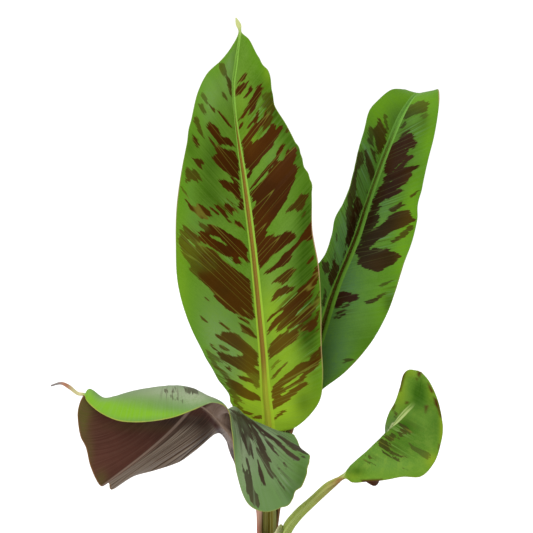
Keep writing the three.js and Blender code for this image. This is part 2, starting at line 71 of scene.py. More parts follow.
# Leaf sheets: their sections, as in the part, then side veins, ripples, pleats and margins.
THIRDS = (1 / 3, 2 / 3, 1)
PETIOLE_COLUMNS = (0.36, 0.72, 1)
PETIOLE_CUP = 0.55
PETIOLE_SKIN = 1.8
TROUGH_REACH = 40
TIP_RIB = (0.4, 0.3, 0)
TAIL_RIB = (0.3, 0.2, 0)
SKIN = 0.9
EDGE_SKIN = 0.5
WIDEST_RIB_SHARE = 0.48
RIB_COLUMNS = (0, 0.12, 0.24, 0.36, 0.48, 0.6, 0.72, 0.85, 1, 1.15, 1.3)
FAR_FROM_RIB = 9
GROOVE_ACROSS = (0, 0.35, 0.6, 0.95, 1.3)
GROOVE_DEPTHS = (1, 0.5, -0.35, -0.15, 0)
KEEL_POWER = 1.2
THINNING_POWER = 0.7
LEAST_RIB = 0.1
STALK_FADE = 0.3
LONGEST_TAIL = 9
RIGHT_LANES = 500
RIB_HEIGHT = 0.2
RIB_PITCH = 7.0
RIB_RISE = 3
RIPPLE_HEIGHT = 0.6
RIPPLE_PITCH = 26.0
PLEAT_HEIGHT = 0.9
PLEAT_PITCH = 2.9
PLEAT_REACH = 0.2
PLEAT_RISE = 0.3
PLEAT_FALL = 0.12
PLEAT_FADE = 14
PLEATED_LENGTH = 160.0
PLEATED_REACH = 0.12
PLEATED_RISE = 0.1
PLEATED_FADE = 3
CREST_WIDTH = 1.6
RAGGED_DEPTH = 1.8
RAGGED_LANE = 1.6
RAGGED_LENGTH = 26.0
MARGIN_POWER = 4
STALK_STREAK = 20.0

# Blotches: how far they reach past their outlines, how much more their ends fray, how far from
# an outline its depth is worked out, and how their strengths blend from one to the next.
BLOTCH_SPREAD = 0.35
END_FRAY = 3.0
OUTSIDE = -8.0
NEAR_OUTLINE = 6.0
SOFT_EDGE = 0.9
TONE_REACH = (-4, 2)
TONE_DROP = 1.5

# Blotches by rule, on the sides that the photograph doesn't show.
UNSEEN_FACING = -0.02
UNSEEN_BLOTCHES = 16
UNSEEN_LANES = (0.08, 0.95)
UNSEEN_HALF_WIDTHS = (1.2, 6.0)
UNSEEN_REACH = (0.08, 0.92)
UNSEEN_SLANT = 4
UNSEEN_TONE = 0.9

# Half widths of the midribs in millimetres, by share of the blade's stations.
MAIN_RIB = (
    (0, 6.0), (0.3, 5.0), (0.45, 4.7), (0.6, 4.6), (0.68, 4.0), (0.75, 3.1), (0.8, 2.6),
    (0.87, 3.5), (0.93, 4.0), (0.97, 3.0), (1, 0.6),
)
REAR_RIB = (
    (0, 5.6), (0.37, 5.6), (0.49, 5.4), (0.56, 4.8), (0.68, 4.3), (0.74, 3.6), (0.8, 2.6),
    (0.88, 1.4), (1, 0.4),
)
SMALL_RIB = ((0, 2.4), (0.36, 2.7), (0.5, 2.7), (0.63, 2.2), (0.7, 1.3), (1, 0.4))

# Paints are named by the colour that they show under this light.
LIGHT_GAIN = 1.6
UPPER_GLOSS = 0.03
UNDER_GLOSS = 0.08
TONE_POWER = 0.6

# The false stem, as in the part, in millimetres.
STEM_FOOT = 88.0
STEM_TOP = 178.0
STEM_RADIUS = 10.2
STEM_SWELL = 3.6
SWELL_LEVEL = 104.0
SWELL_HEIGHT = 30.0
SHEATHS = 5
SHEATH_STEP = 0.9
SHEATH_TWIST = 1.1
OLD_SHEATH_RISE = 9.0
OLD_SHEATH_SIDE = 0.5
OPEN_TOP_DIP = 2.0
SHEATH_COLUMNS = 18
SHEATH_LANES = 12
STEM_ROWS = 80
FINE_RIB = 0.07
FINE_RIB_PITCH = 1.0
BROAD_RIB = 0.12
BROAD_RIB_PITCH = 6.0
RIB_LEAN = 9

# How far the stem's lip turns in, and how far it drops, ring by ring.
STEM_LIP = ((0.5, -0.25), (1.1, 0.4), (1.3, 4.0))

# Pot and soil, as in the part. Turning marks are a seed, a height and a pitch.
POT_HEIGHT = 122.0
POT_TOP_RADIUS = 70.0
POT_FOOT_RADIUS = 48.0
POT_WALL = 5.0
POT_FLOOR = 7.0
RIM_HEIGHT = 24.0
RIM_OVERHANG = 4.0
RIM_TAPER = 1.5
POT_MIDDLE = 2
DRAINS = 4
DRAIN_RADIUS = 4.0
DRAIN_RING = 27.0
DRAIN_SIDES = 32
DRAIN_SPARE = 5
EDGE_ROUNDING = 2.5
TURNED_SIDES = 144
PLAIN_END = 3
FOOT_FADE = 4
RIM_FADE = 3
TURNING_MARKS = ((3, 0.1, 1.7), (4, 0.12, 9.0))
TURNING_DEPTH = 0.6
TURNING_ROOM = 0.1
PROFILE_STEP = 1.6
SOIL_LEVEL = 110.0
SOIL_DOME = 4.0
MOUND_RADIUS = 20.0
MOUND_FOOT_RADIUS = 32.0
SOIL_FOOT = 7.3
SOIL_FOOT_RADIUS = 43.9
SOIL_RADIUS = 58.6
SOIL_HOLE_RADIUS = 15.0
SOIL_SIDES = 240
SOIL_RINGS = 36
SOIL_CRUMB = 0.9
SOIL_BITS = 420
PERLITE_SHARE = 0.22
PERLITE_SIZE = (0.7, 1.5)
BARK_SIZE = (0.5, 1.3)
BARK_FORM = (2.6, 1.2, 0.6)
BIT_TILT = 0.25

MAIN_LEAF = {
    "petiole": [
        ([-0.5, 1.8, 164], [0, -1, 0], 4.6),
        ([-0.5, 2.6, 182], [0, -1, 0], 5.4),
        ([-0.4, 4.6, 205], [0, -1, 0.1], 5.2),
        ([-0.3, 6, 232], [0, -1, 0.1], 5.1),
    ],
    "blade": [
        [[-0.3, 7, 254], [-5.9, 5.4, 255], [5.3, 5.4, 255]],
        [[-0.5, 7.5, 260], [-19, 3.5, 264.5], [21, 3.5, 260.8]],
        [[-1, 8, 268], [-29.5, 1, 279.5], [38, 2, 279.5]],
        [[-2.3, 9, 279], [-41.9, 0, 302.5], [41, 3, 297]],
        [[-3.4, 10, 294.5], [-60.2, 0, 338], [40, 5, 324.5]],
        [[-4.6, 12, 314], [-69.3, 2, 369], [39.7, 9, 354]],
        [[-7, 14, 340], [-71, 5, 400], [37.8, 10, 383.5]],
        [[-9.6, 17, 367.5], [-70.5, 9, 428], [33.2, 10, 410.5]],
        [[-12.5, 19, 395], [-67.2, 12, 454], [31.8, 11, 447]],
        [[-16, 21, 423], [-63, 15, 476], [24.5, 14, 468]],
        [[-19.4, 23, 449], [-59, 17, 497.5], [14, 18, 490]],
        [[-23, 25, 473.5], [-54.4, 20, 516.5], [3.6, 21, 508]],
        [[-26, 26, 496.5], [-46.8, 22, 531.5], [0.3, 22, 531]],
        [[-27.6, 27, 518], [-37.2, 24, 540.5], [-9.2, 24, 545.5]],
        [[-25.2, 28, 538], [-29.4, 27, 550.5], [-15.2, 26, 557]],
        [[-22.3, 29, 562.5], [-23.4, 29, 563], [-21.2, 29, 563]],
    ],
    "tail": [[-23.4, 30, 568.5], [-25.4, 31, 574]],
    "tail_halves": [2.1, 0.5],
    "rib": ([5.4, 2.8, 0.9], [1, 0.5, 0.1]),
    "trough": 3,
}

REAR_LEAF = {
    "petiole": [
        ([0.4, 8.4, 166], [0, -1, 0], 4.2),
        ([1.6, 9.4, 182], [0, -1, 0], 4.4),
        ([5.4, 13.2, 207], [-0.1, -1, 0.2], 4.2),
        ([9, 18, 234.5], [-0.2, -1, 0.3], 4.2),
        ([15.8, 26.5, 261], [-0.2, -1, 0.3], 4.2),
    ],
    "blade": [
        [[24.7, 32, 279.5], [20, 30.6, 281.5], [29.5, 30.6, 278]],
        [[27, 34, 287.5], [16, 30, 292], [42.5, 31, 289]],
        [[30, 37, 299], [14, 29, 309], [59.5, 32, 302]],
        [[35, 41, 316.5], [15.5, 27, 333.5], [78.2, 35, 323]],
        [[41.5, 45, 337], [21.5, 25, 357], [90.8, 39, 345]],
        [[47.5, 49, 356.5], [32.5, 25, 377.5], [98.3, 43, 364.5]],
        [[53.5, 52, 373], [44.2, 24, 393.5], [104.5, 46, 384.5]],
        [[61.5, 55, 391.5], [51.4, 25, 420.5], [111, 48, 402]],
        [[68, 57, 408], [57.3, 26, 431.5], [115.3, 49, 420]],
        [[74, 59, 426.5], [64, 29, 450.5], [118.7, 51, 442]],
        [[81, 61, 446], [68.6, 33, 471], [123.8, 54, 465.5]],
        [[88.2, 63, 465], [73.4, 39, 487], [128.3, 58, 482.5]],
        [[95.3, 65, 482], [77.5, 47, 503], [132, 63, 502.5]],
        [[102.4, 68, 498], [86.4, 57, 513.5], [133.4, 70, 513]],
        [[108, 73, 507.5], [95.4, 68, 520.5], [133.5, 78, 520.5]],
        [[113.4, 81, 515], [104.6, 81, 521.5], [132.4, 88, 522.4]],
        [[118.6, 92, 519], [111.5, 95, 521], [130.6, 98, 521.5]],
        [[123.8, 104, 517.5], [119.5, 106, 518.5], [130.3, 107, 517]],
        [[128.3, 115, 508], [127.2, 115, 508], [129.4, 115, 508]],
    ],
    "tail": [[131, 121, 499.5], [132, 124, 492]],
    "tail_halves": [0.8, 0.5],
    "rib": ([4, 2.4, 0.8], [0.9, 0.5, 0.1]),
    "trough": 3,
}

DROOPING_LEAF = {
    "petiole": [
        ([-6.4, -4, 164], [0.95, 0.3, 0], 2.5),
        ([-6.9, -4.2, 180], [0.95, 0.3, 0.1], 2.5),
        ([-7.9, -4.9, 200], [0.9, 0.3, 0.4], 2.8),
        ([-14, -8, 219.5], [0.85, 0.2, 0.6], 3.6),
    ],
    "blade": [
        [[-19.7, -11, 230], [-19, -15.2, 232], [-19.6, -6.6, 230.6]],
        [[-21.2, -12, 235.5], [[-17.4, -14, 251.5], [-5.3, -16, 258.5], [17.2, -14, 256.4]],
         [[-22, -9, 233], [-22.7, -6, 230.5], [-23.5, -3, 228]]],
        [[-22.7, -13, 240], [[-19.6, -18, 263.5], [-0.8, -24, 262], [22.2, -24, 249.3]],
         [[-23.5, -7, 236.7], [-24.3, 0, 233.2], [-25.1, 6, 229.8]]],
        [[-24.2, -14, 244.5], [[-22, -20, 270.5], [-0.8, -33, 258.5], [30, -32, 240.5]],
         [[-25, -6, 241.2], [-25.9, 3, 237.6], [-26.7, 13, 234]]],
        [[-25.7, -15, 248.5], [[-23.3, -24, 275.3], [-5.3, -40, 253], [26.7, -42, 223]],
         [[-26.5, -5, 245], [-27.4, 7, 241], [-28.7, 19, 238]]],
        [[-27.6, -16, 253], [[-24.8, -28, 276.3], [-9.7, -46, 250], [16.3, -50, 208.4]],
         [[-28.8, -4, 249.5], [-29.8, 10, 245.6], [-30.7, 24, 242.5]]],
        [[-29.8, -17, 257], [[-26.3, -33, 276.2], [-15, -52, 249], [-0.8, -56, 200.5]],
         [[-31, -3, 254], [-32, 12, 250.8], [-33, 28, 249]]],
        [[-32.5, -17.5, 260.3], [[-28.5, -38, 275.2], [-19.3, -56, 252.3], [-14.6, -60, 205.5]],
         [[-34.2, -2, 258.4], [-36, 14, 256.8], [-38.6, 29, 254.4]]],
        [[-35.5, -18, 263.7], [[-30.7, -40, 273.8], [-24.5, -58, 262.8], [-23.8, -64, 228.5]],
         [[-41.8, 0, 257.5], [-50.4, 14, 249], [-69, 24, 232.6]]],
        [[-39.2, -18, 268.3], [[-35.2, -40, 273.8], [-29.7, -58, 274.6], [-27.4, -68, 260.3]],
         [[-48.6, -2, 257.6], [-71.6, 6, 241.2], [-105, 12, 221.3]]],
        [[-43.8, -18, 272.8], [[-41.2, -38, 280.7], [-36.4, -56, 282.2], [-31, -70, 277.4]],
         [[-59, -6, 257], [-84.3, -1, 238.6], [-118.7, 2, 213.3]]],
        [[-49, -18, 276.6], [[-47.9, -36, 285.8], [-45.4, -54, 286], [-40.7, -69, 282.2]],
         [[-66.7, -8, 258], [-91.7, -6, 238], [-122, -5, 218.3]]],
        [[-56.6, -17, 280.3], [[-57.7, -34, 291.2], [-57.3, -53, 288.5], [-54.7, -68, 277.3]],
         [[-75, -11, 258.8], [-98.4, -10, 238.4], [-127.2, -10, 216.4]]],
        [[-67.2, -16.5, 282.5], [[-69.8, -32, 292.9], [-70, -51, 290], [-68.8, -66, 271.7]],
         [[-84.7, -12, 260.4], [-105.8, -13, 243.8], [-134.8, -13, 231]]],
        [[-77.8, -16, 283.3], [[-80.3, -30, 292], [-82, -48, 289], [-84.4, -63, 268.2]],
         [[-93, -13, 264.2], [-112.6, -14.5, 250], [-138.3, -15, 246]]],
        [[-90, -15, 283.6], [[-92.4, -28, 290.5], [-94.7, -45, 287.5], [-98.7, -58, 267]],
         [[-104.3, -13, 268], [-122.4, -15, 256.8], [-142.2, -16, 254]]],
        [[-102, -14, 282.4], [[-104.6, -25, 288.2], [-107, -39, 284.2], [-111.6, -51, 267.8]],
         [[-115, -13, 271], [-130, -15, 263.6], [-144.2, -16, 265]]],
        [[-113.4, -13, 280], [[-116, -21.5, 284.6], [-118.5, -32, 281.7], [-123.3, -40, 271.6]],
         [[-123.2, -13, 273.3], [-134.5, -14.5, 269], [-144.5, -15.5, 272.7]]],
        [[-123.2, -12.5, 281], [[-125.3, -17.5, 283.3], [-128, -24, 280.6], [-132.2, -28, 276.6]],
         [[-129.3, -12.5, 277], [-136.8, -14, 275], [-142.8, -14.5, 280.2]]],
        [[-135.6, -12, 289.6], [[-136.6, -14, 288.4], [-136.7, -16, 284.8], [-138, -18, 281.8]],
         [[-135.4, -12, 287.3], [-137.6, -13, 285.8], [-140.6, -13.5, 284.7]]],
        [[-139.5, -13, 285.8], [-139.5, -13.9, 285], [-139.5, -12.1, 286.6]],
    ],
    "tail": [[-144.4, -13, 286.5], [-151, -14, 291.5], [-157, -16, 294.4], [-164.4, -19, 292.7]],
    "tail_halves": [1.6, 2.0, 1.1, 0.5],
    "rib": ([2.4, 1.4, 0.5], [0.9, 0.5, 0.1]),
    "trough": 0,
}

SMALL_LEAF = {
    "petiole": [
        ([6.6, -3.8, 150], [-0.85, 0.5, 0.3], 4.2),
        ([10, -5.4, 166], [-0.8, 0.3, 0.4], 4.6),
        ([14.4, -7, 182.4], [-0.62, -0.2, 0.72], 6.3),
        ([22, -10, 193.5], [-0.55, -0.3, 0.78], 5.6),
        ([33.2, -14, 205], [-0.55, -0.3, 0.78], 4.5),
        ([45.6, -18, 216.8], [-0.5, -0.35, 0.78], 3.9),
    ],
    "blade": [
        [[55.3, -22, 225.4], [53.4, -19.4, 223.9], [57.6, -24.8, 223]],
        [[62.4, -24, 229.4],
         [61, -16, 229],
         [[62.3, -27, 233.4], [63, -32, 227.7], [63, -34, 220.6]]],
        [[71.4, -27, 237],
         [72, -9, 220.5],
         [[71.2, -31, 241], [72.5, -39, 232.6], [72.3, -44, 222]]],
        [[80.3, -29, 246.3],
         [81, -6, 216.4],
         [[81, -34, 249.6], [83.5, -44, 238.2], [85.5, -52, 223.8]]],
        [[88.5, -31, 257],
         [88.8, -4, 246.3],
         [[91.3, -36, 257], [96, -48, 243.6], [99.4, -57, 226.4]]],
        [[95.2, -32, 266],
         [88.2, -8, 261],
         [[101, -38, 261.7], [108, -50, 246.7], [112.7, -58, 226.8]]],
        [[102, -32, 273.8],
         [90.7, -12, 271.8],
         [[109.2, -38, 267], [117.6, -49, 253.4], [122.4, -56, 236.7]]],
        [[107.2, -31.5, 278.7],
         [95, -16, 281],
         [[115.2, -36.5, 273.6], [123, -45, 265], [127.8, -52, 251.3]]],
        [[111.8, -30.5, 284.6],
         [98.4, -19, 291],
         [[118.3, -35, 279.6], [124.7, -41, 273.8], [129.6, -47, 264.4]]],
        [[114, -29, 292.8],
         [101.3, -22, 301.6],
         [[117.7, -32, 291.4], [121.2, -36, 287.8], [125.5, -40, 284.3]]],
        [[114.2, -28, 298.8],
         [105.3, -25, 305],
         [[115.6, -29.5, 298], [117.8, -31, 297.4], [120, -32, 296.7]]],
        [[113.4, -27, 303.6], [112.4, -26.6, 304], [114.4, -27.4, 303.2]],
    ],
    "tail": [],
    "rib": ([2.4, 2.4, 0.4], [0.7, 0.4, 0.1]),
    "trough": 1,
}

# Blotches on the upper sides, as strength and outline. An outline's points are places in the
# photograph's own frame, across and down, and are laid on the leaf from the front.
MAIN_BLOTCHES = [
    (0.4, [(263, 94), (268, 92), (272, 98), (275, 108), (272, 114), (266, 108)]),
    (1, [(245.5, 74), (242.5, 76), (238.5, 82), (240, 82), (244.5, 79), (246, 76)]),
    (1, [(249, 81.5), (238, 87), (235.5, 92), (236.5, 95.5), (241, 92.5), (246, 87)]),
    (1, [(250.5, 86), (247, 93), (243, 99), (245, 98.5), (250, 93.5), (251.5, 89)]),
    (1, [(261.5, 84), (257, 87.5), (256, 91), (249, 104), (239, 120.5), (244, 117), (247.5, 111),
     (251, 108), (252.5, 109.5), (249.5, 114), (255, 109), (257, 101), (262, 90)]),
    (0.4, [(267.5, 98.5), (260.5, 107), (266.5, 103), (268.5, 100.5)]),
    (1, [(244, 122), (241.5, 123.5), (240, 128.5), (243, 125)]),
    (0.9, [(253, 120.5), (250.5, 123), (249, 126.5), (254, 121.5)]),
    (1, [(243, 140), (251, 128.5), (254, 126), (255, 122.5), (254.5, 119), (258, 111),
     (260, 112.5), (256, 122.5), (258, 123.5), (263, 118), (266, 110.5), (268, 112.5), (268, 117),
     (266.5, 122), (260, 127.5), (250, 140.5), (252.5, 144), (263, 137.5), (267.5, 131.5),
     (271, 124.5), (274.5, 124.5), (276, 130), (281, 125), (282, 127.5), (271, 148), (266, 153.5),
     (262.5, 156), (259, 162.5), (252.5, 170), (248.5, 178), (248, 176), (249, 171), (246.5, 166),
     (242.5, 143)]),
    (1, [(283.5, 143), (280.5, 146.5), (277.5, 155), (249.5, 188.5), (253.5, 186.5),
     (279.5, 156.5), (284, 146)]),
    (1, [(277.5, 161), (270, 170), (267.5, 176), (262, 182.5), (251.5, 192), (253.5, 200),
     (259, 200.5), (253.5, 209.5), (253, 214), (260, 269), (271.5, 256), (294.5, 239), (294, 235),
     (290.5, 233), (286.5, 232.5), (282, 235), (276, 236.5), (264.5, 236.5), (266.5, 232.5),
     (266.5, 228.5), (271.5, 223), (281, 208), (291.5, 187), (297, 169.5), (293.5, 166.5),
     (293.5, 162), (296, 152.5), (295, 149.5), (292.5, 148), (290, 151.5), (288.5, 149),
     (282.5, 162.5)]),
    (0.85, [(300.5, 194.5), (302.5, 195.5), (306.5, 195), (304.5, 205.5), (302, 209), (294, 209),
     (287, 211), (288.5, 208), (293, 205)]),
    (1, [(311.5, 221), (312, 238), (309, 240.5), (301, 241.5), (295.5, 248), (291, 255.5),
     (288.5, 262), (283, 266), (268.5, 272.5), (265, 273), (279, 261.5), (285, 253), (295, 245),
     (299.5, 240), (302.5, 233.5)]),
    (0.9, [(312.5, 255.5), (310, 259), (307.5, 264), (309, 264), (311.5, 260.5), (313, 257)]),
    (0.45, [(303, 216.5), (301.5, 217), (304, 212.5), (305, 213.5)]),
    (0.9, [(290.5, 269), (295, 270.5), (287.5, 280.5), (282, 283.5), (273.5, 282), (281, 275)]),
    (0.9, [(287, 286), (289.5, 288), (295, 286.5), (292.5, 290.5), (279, 296), (274.5, 300),
     (271, 301), (273.5, 295.5), (277.5, 290)]),
    (0.95, [(316, 267), (317.5, 272), (316, 285.5), (312, 292), (310, 298.5), (294.5, 313.5),
     (298, 315.5), (297.5, 317.5), (291.5, 321), (279, 331), (276, 331), (277.5, 327.5),
     (283.5, 320.5), (281.5, 320.5), (266.5, 335.5), (270, 330), (269.5, 327.5), (273, 322),
     (284.5, 310.5), (280, 311), (275.5, 314), (266.5, 323), (266.5, 321.5), (271.5, 315.5),
     (283.5, 307), (296, 295.5), (297.5, 293), (296.5, 291.5), (308.5, 282), (313.5, 274.5)]),
    (0.9, [(317.5, 303.5), (310, 312.5), (302.5, 317.5), (296, 324), (299.5, 324), (309, 318),
     (317.5, 306)]),
    (0.8, [(303, 324), (300, 325), (292, 330.5), (290.5, 333), (294.5, 331.5), (301, 326.5)]),
    (0.9, [(315.5, 318), (317, 323), (313.5, 330), (310, 330.5), (305.5, 330), (302.5, 327.5)]),
    (0.7, [(319, 311), (318, 314), (316.5, 317.5), (315.5, 317.5), (317.5, 311.5)]),
    (0.7, [(312, 302), (307, 309), (308, 309.5), (311, 306)]),
    (0.6, [(317.5, 330), (316.5, 332), (317.5, 332)]),
    (0.85, [(280, 334.5), (282.5, 333.5), (298.5, 331.5), (299, 335), (295.5, 340), (270, 358.5),
     (269, 348.5), (272, 343)]),
    (0.35, [(272, 366.5), (276, 361.5), (280, 361), (275.5, 364.5), (272.5, 369)]),
    (0.75, [(272.5, 379), (272.5, 376.5), (277.5, 370), (286.5, 363), (286.5, 364),
     (281.5, 368.5)]),
    (0.85, [(320.5, 346.5), (309.5, 361), (303, 362), (297.5, 365.5), (291.5, 370), (275, 385.5),
     (272.5, 391.5), (273, 406.5), (274.5, 409), (286.5, 401), (299.5, 389.5), (308, 383.5),
     (306, 382), (300, 384), (281.5, 397), (278.5, 397), (280, 394.5), (293.5, 385.5),
     (302.5, 381), (304.5, 376.5), (315, 369), (321.5, 358), (322.5, 353)]),
    (0.8, [(285, 410), (275, 419.5), (276.5, 415.5), (281.5, 411)]),
    (0.45, [(220.5, 64.5), (224.5, 64.5), (226.5, 75), (224, 74.5), (220.5, 71.5)]),
    (0.75, [(226, 75), (230.5, 81.5), (231, 87), (230.5, 94.5), (227, 84)]),
    (0.6, [(221.5, 91.5), (226, 96.5), (225, 98), (223, 96)]),
    (0.4, [(201, 93), (204, 94), (206.5, 99), (206, 102), (203.5, 100)]),
    (0.5, [(199, 104), (202, 103.5), (204.5, 110), (203.5, 113.5), (200.5, 110)]),
    (0.8, [(209.5, 104.5), (214.5, 109.5), (213, 110.5), (210.5, 108)]),
    (1, [(218.5, 112), (224, 117), (230.5, 125.5), (229.5, 126), (221.5, 117)]),
    (0.6, [(196.5, 117), (198, 118), (203, 137), (199.5, 132.5), (195.5, 123.5)]),
    (1, [(207, 124.5), (210.5, 123.5), (217, 127.5), (221, 136), (229.5, 139.5), (234, 145.5),
     (226, 143.5), (219.5, 144.5), (207.5, 128)]),
    (0.9, [(210.5, 139.5), (214.5, 144), (218.5, 150), (217, 150.5), (212, 143)]),
    (0.95, [(193, 139), (196.5, 138.5), (198, 142), (201, 147), (198.5, 144.5), (197.5, 147)]),
    (0.9, [(192.5, 158), (201, 160), (202.5, 162.5), (201, 165.5), (199, 167)]),
    (0.65, [(187, 167), (191, 170.5), (194.5, 169), (201, 179), (197.5, 178), (197, 181),
     (191, 179), (186.5, 183), (188, 177.5), (184.5, 170)]),
    (1, [(218, 147.5), (219, 146.5), (222, 149.5), (234.5, 152), (237, 160), (238.5, 178.5),
     (235, 177.5), (220.5, 168), (213.5, 159.5), (217.5, 152.5)]),
    (1, [(230, 176), (236, 181), (238.5, 183.5), (238.5, 186), (233, 180.5)]),
    (1, [(218.5, 180.5), (225, 181), (235, 185), (238, 184.5), (239, 187), (240, 199.5),
     (235.5, 198.5), (232.5, 192.5), (223, 186.5)]),
    (0.4, [(182, 187.5), (186.5, 193), (187, 197), (183.5, 191.5)]),
    (0.95, [(186.5, 200), (191, 205.5), (195.5, 208), (198.5, 204), (203.5, 206.5), (208.5, 211),
     (212.5, 217), (207.5, 216), (202.5, 219.5), (190, 209), (190, 206.5)]),
    (1, [(210, 208), (218, 213.5), (219.5, 215.5), (218, 215.5), (210.5, 209)]),
    (1, [(217, 205), (223, 210), (227, 218.5), (221, 213), (217, 208.5)]),
    (1, [(223.5, 205.5), (228.5, 204.5), (238.5, 213), (232, 210), (231.5, 212.5), (229.5, 212.5),
     (224.5, 208)]),
    (1, [(229, 201), (236.5, 205.5), (239, 206), (240, 200), (242.5, 200), (241.5, 209)]),
    (0.85, [(226, 218.5), (231, 222.5), (229.5, 222)]),
    (1, [(233.5, 222.5), (238, 220.5), (243, 227), (243, 229), (239, 225.5)]),
    (1, [(210, 226.5), (211.5, 225), (217, 227), (240.5, 241), (245.5, 246), (247, 261.5),
     (245, 260.5), (242, 256.5), (237.5, 257), (241.5, 263.5), (237.5, 263), (230.5, 259.5),
     (235, 258.5), (230.5, 255.5), (227.5, 254), (226, 256), (202.5, 241.5), (200.5, 239.5),
     (201, 237), (199, 232.5), (205, 230)]),
    (0.55, [(199, 222.5), (205, 225.5), (208, 226.5), (205, 230), (201, 227)]),
    (0.5, [(180.5, 229), (187.5, 235), (194, 239), (199, 246), (205, 247), (214, 253), (220, 262),
     (222, 272), (200, 279.5), (191, 271), (190.5, 267), (193, 266), (185.5, 257), (180.5, 246)]),
    (0.95, [(199, 248.5), (209, 248.5), (216, 252.5), (222, 260.5), (249, 279.5), (253.5, 319),
     (252.5, 320.5), (235, 313.5), (226.5, 308.5), (220.5, 303), (215.5, 297.5), (215.5, 295),
     (208, 286.5), (197.5, 277.5), (194.5, 270), (198, 262), (196, 255)]),
    (0.7, [(205.5, 297.5), (208.5, 300.5), (206, 299)]),
    (0.75, [(200.5, 316), (207, 321), (207, 322.5), (202, 319.5)]),
    (0.85, [(220, 322), (229, 328.5), (228, 329), (219.5, 323)]),
    (0.95, [(239, 317), (249, 322), (250, 324), (239, 318)]),
    (0.9, [(239.5, 323.5), (250.5, 330), (258, 339), (242, 331.5), (243, 328)]),
    (0.85, [(217.5, 337.5), (218.5, 335), (224, 333.5), (227.5, 331), (238, 335), (256.5, 352.5),
     (257.5, 366), (250.5, 365), (258, 371.5), (258, 374), (251, 372.5), (248, 374.5),
     (221.5, 359), (218.5, 353.5), (222.5, 353), (230, 356), (245.5, 358), (242.5, 352.5)]),
    (0.6, [(248, 374.5), (258.5, 374), (259, 385.5), (257.5, 389), (250.5, 379.5)]),
    (0.9, [(240, 376.5), (249.5, 378.5), (253, 381), (247, 382), (241, 379)]),
    (0.9, [(210.5, 343.5), (213.5, 347.5), (218, 351), (214, 349.5)]),
    (0.7, [(219, 345.5), (221, 345), (229, 349.5), (223.5, 350), (219.5, 347)]),
    (0.4, [(207, 349.5), (218.5, 359), (220, 361.5), (215.5, 360.5), (216, 363.5), (228, 376.5),
     (226, 377.5), (216, 368.5), (211.5, 361)]),
    (0.85, [(227, 367), (228.5, 367), (231, 371), (228, 369)]),
    (0.85, [(223.5, 376.5), (240.5, 384), (243.5, 387.5), (254, 393), (259, 397), (260, 400.5),
     (250, 399), (247.5, 399), (236.5, 394), (230, 385), (229.5, 381.5)]),
    (0.6, [(240, 401), (244, 403), (241, 402)]),
    (0.9, [(243.5, 411.5), (246, 411), (251, 413), (248.5, 414), (244, 413)]),
    (0.85, [(253.5, 417), (256, 415.5), (260.5, 415.5), (262.5, 419), (260, 418), (255.5, 418.5)]),
    (0.6, [(290, 118), (295, 120), (292, 128), (287, 135), (285.5, 133), (289, 125)]),
    (0.7, [(268, 118), (271, 114), (272, 119), (268, 126), (263, 131), (262, 129), (266, 124)]),
    (0.8, [(300, 315), (312, 304), (315, 306), (308, 316), (298, 324), (290, 329), (289, 326)]),
    (0.6, [(318.5, 292), (319.5, 300), (316, 308), (312, 313), (315, 302)]),
    (0.7, [(284, 318), (292, 312), (294, 314), (278, 330), (276, 329)]),
    (0.6, [(184, 226), (197, 236), (200, 243), (192, 238), (185, 232)]),
    (0.5, [(180, 240), (186, 248), (192, 258), (196, 268), (190, 264), (183, 254)]),
    (0.5, [(228, 382), (234, 392), (242, 402), (236, 400), (230, 392)]),
    (0.5, [(233, 396), (238, 404), (243, 410), (238, 409)]),
]
MAIN_CLEARINGS = [
    [(207.5, 234), (209, 232.5), (217, 237), (219.5, 237), (230, 247), (227.5, 247), (209, 237)],
    [(186.5, 239), (189.5, 238.5), (196.5, 245.5), (195, 248.5), (188, 242.5)],
    [(308, 368), (282, 387), (281, 390.5), (298.5, 380), (305, 372.5), (313, 367.5)],
    [(311, 291.5), (315, 288.5), (313.5, 292.5), (306, 301), (304, 302.5)],
    [(312.5, 360), (318, 352.5), (319, 353), (316, 358.5)],
]

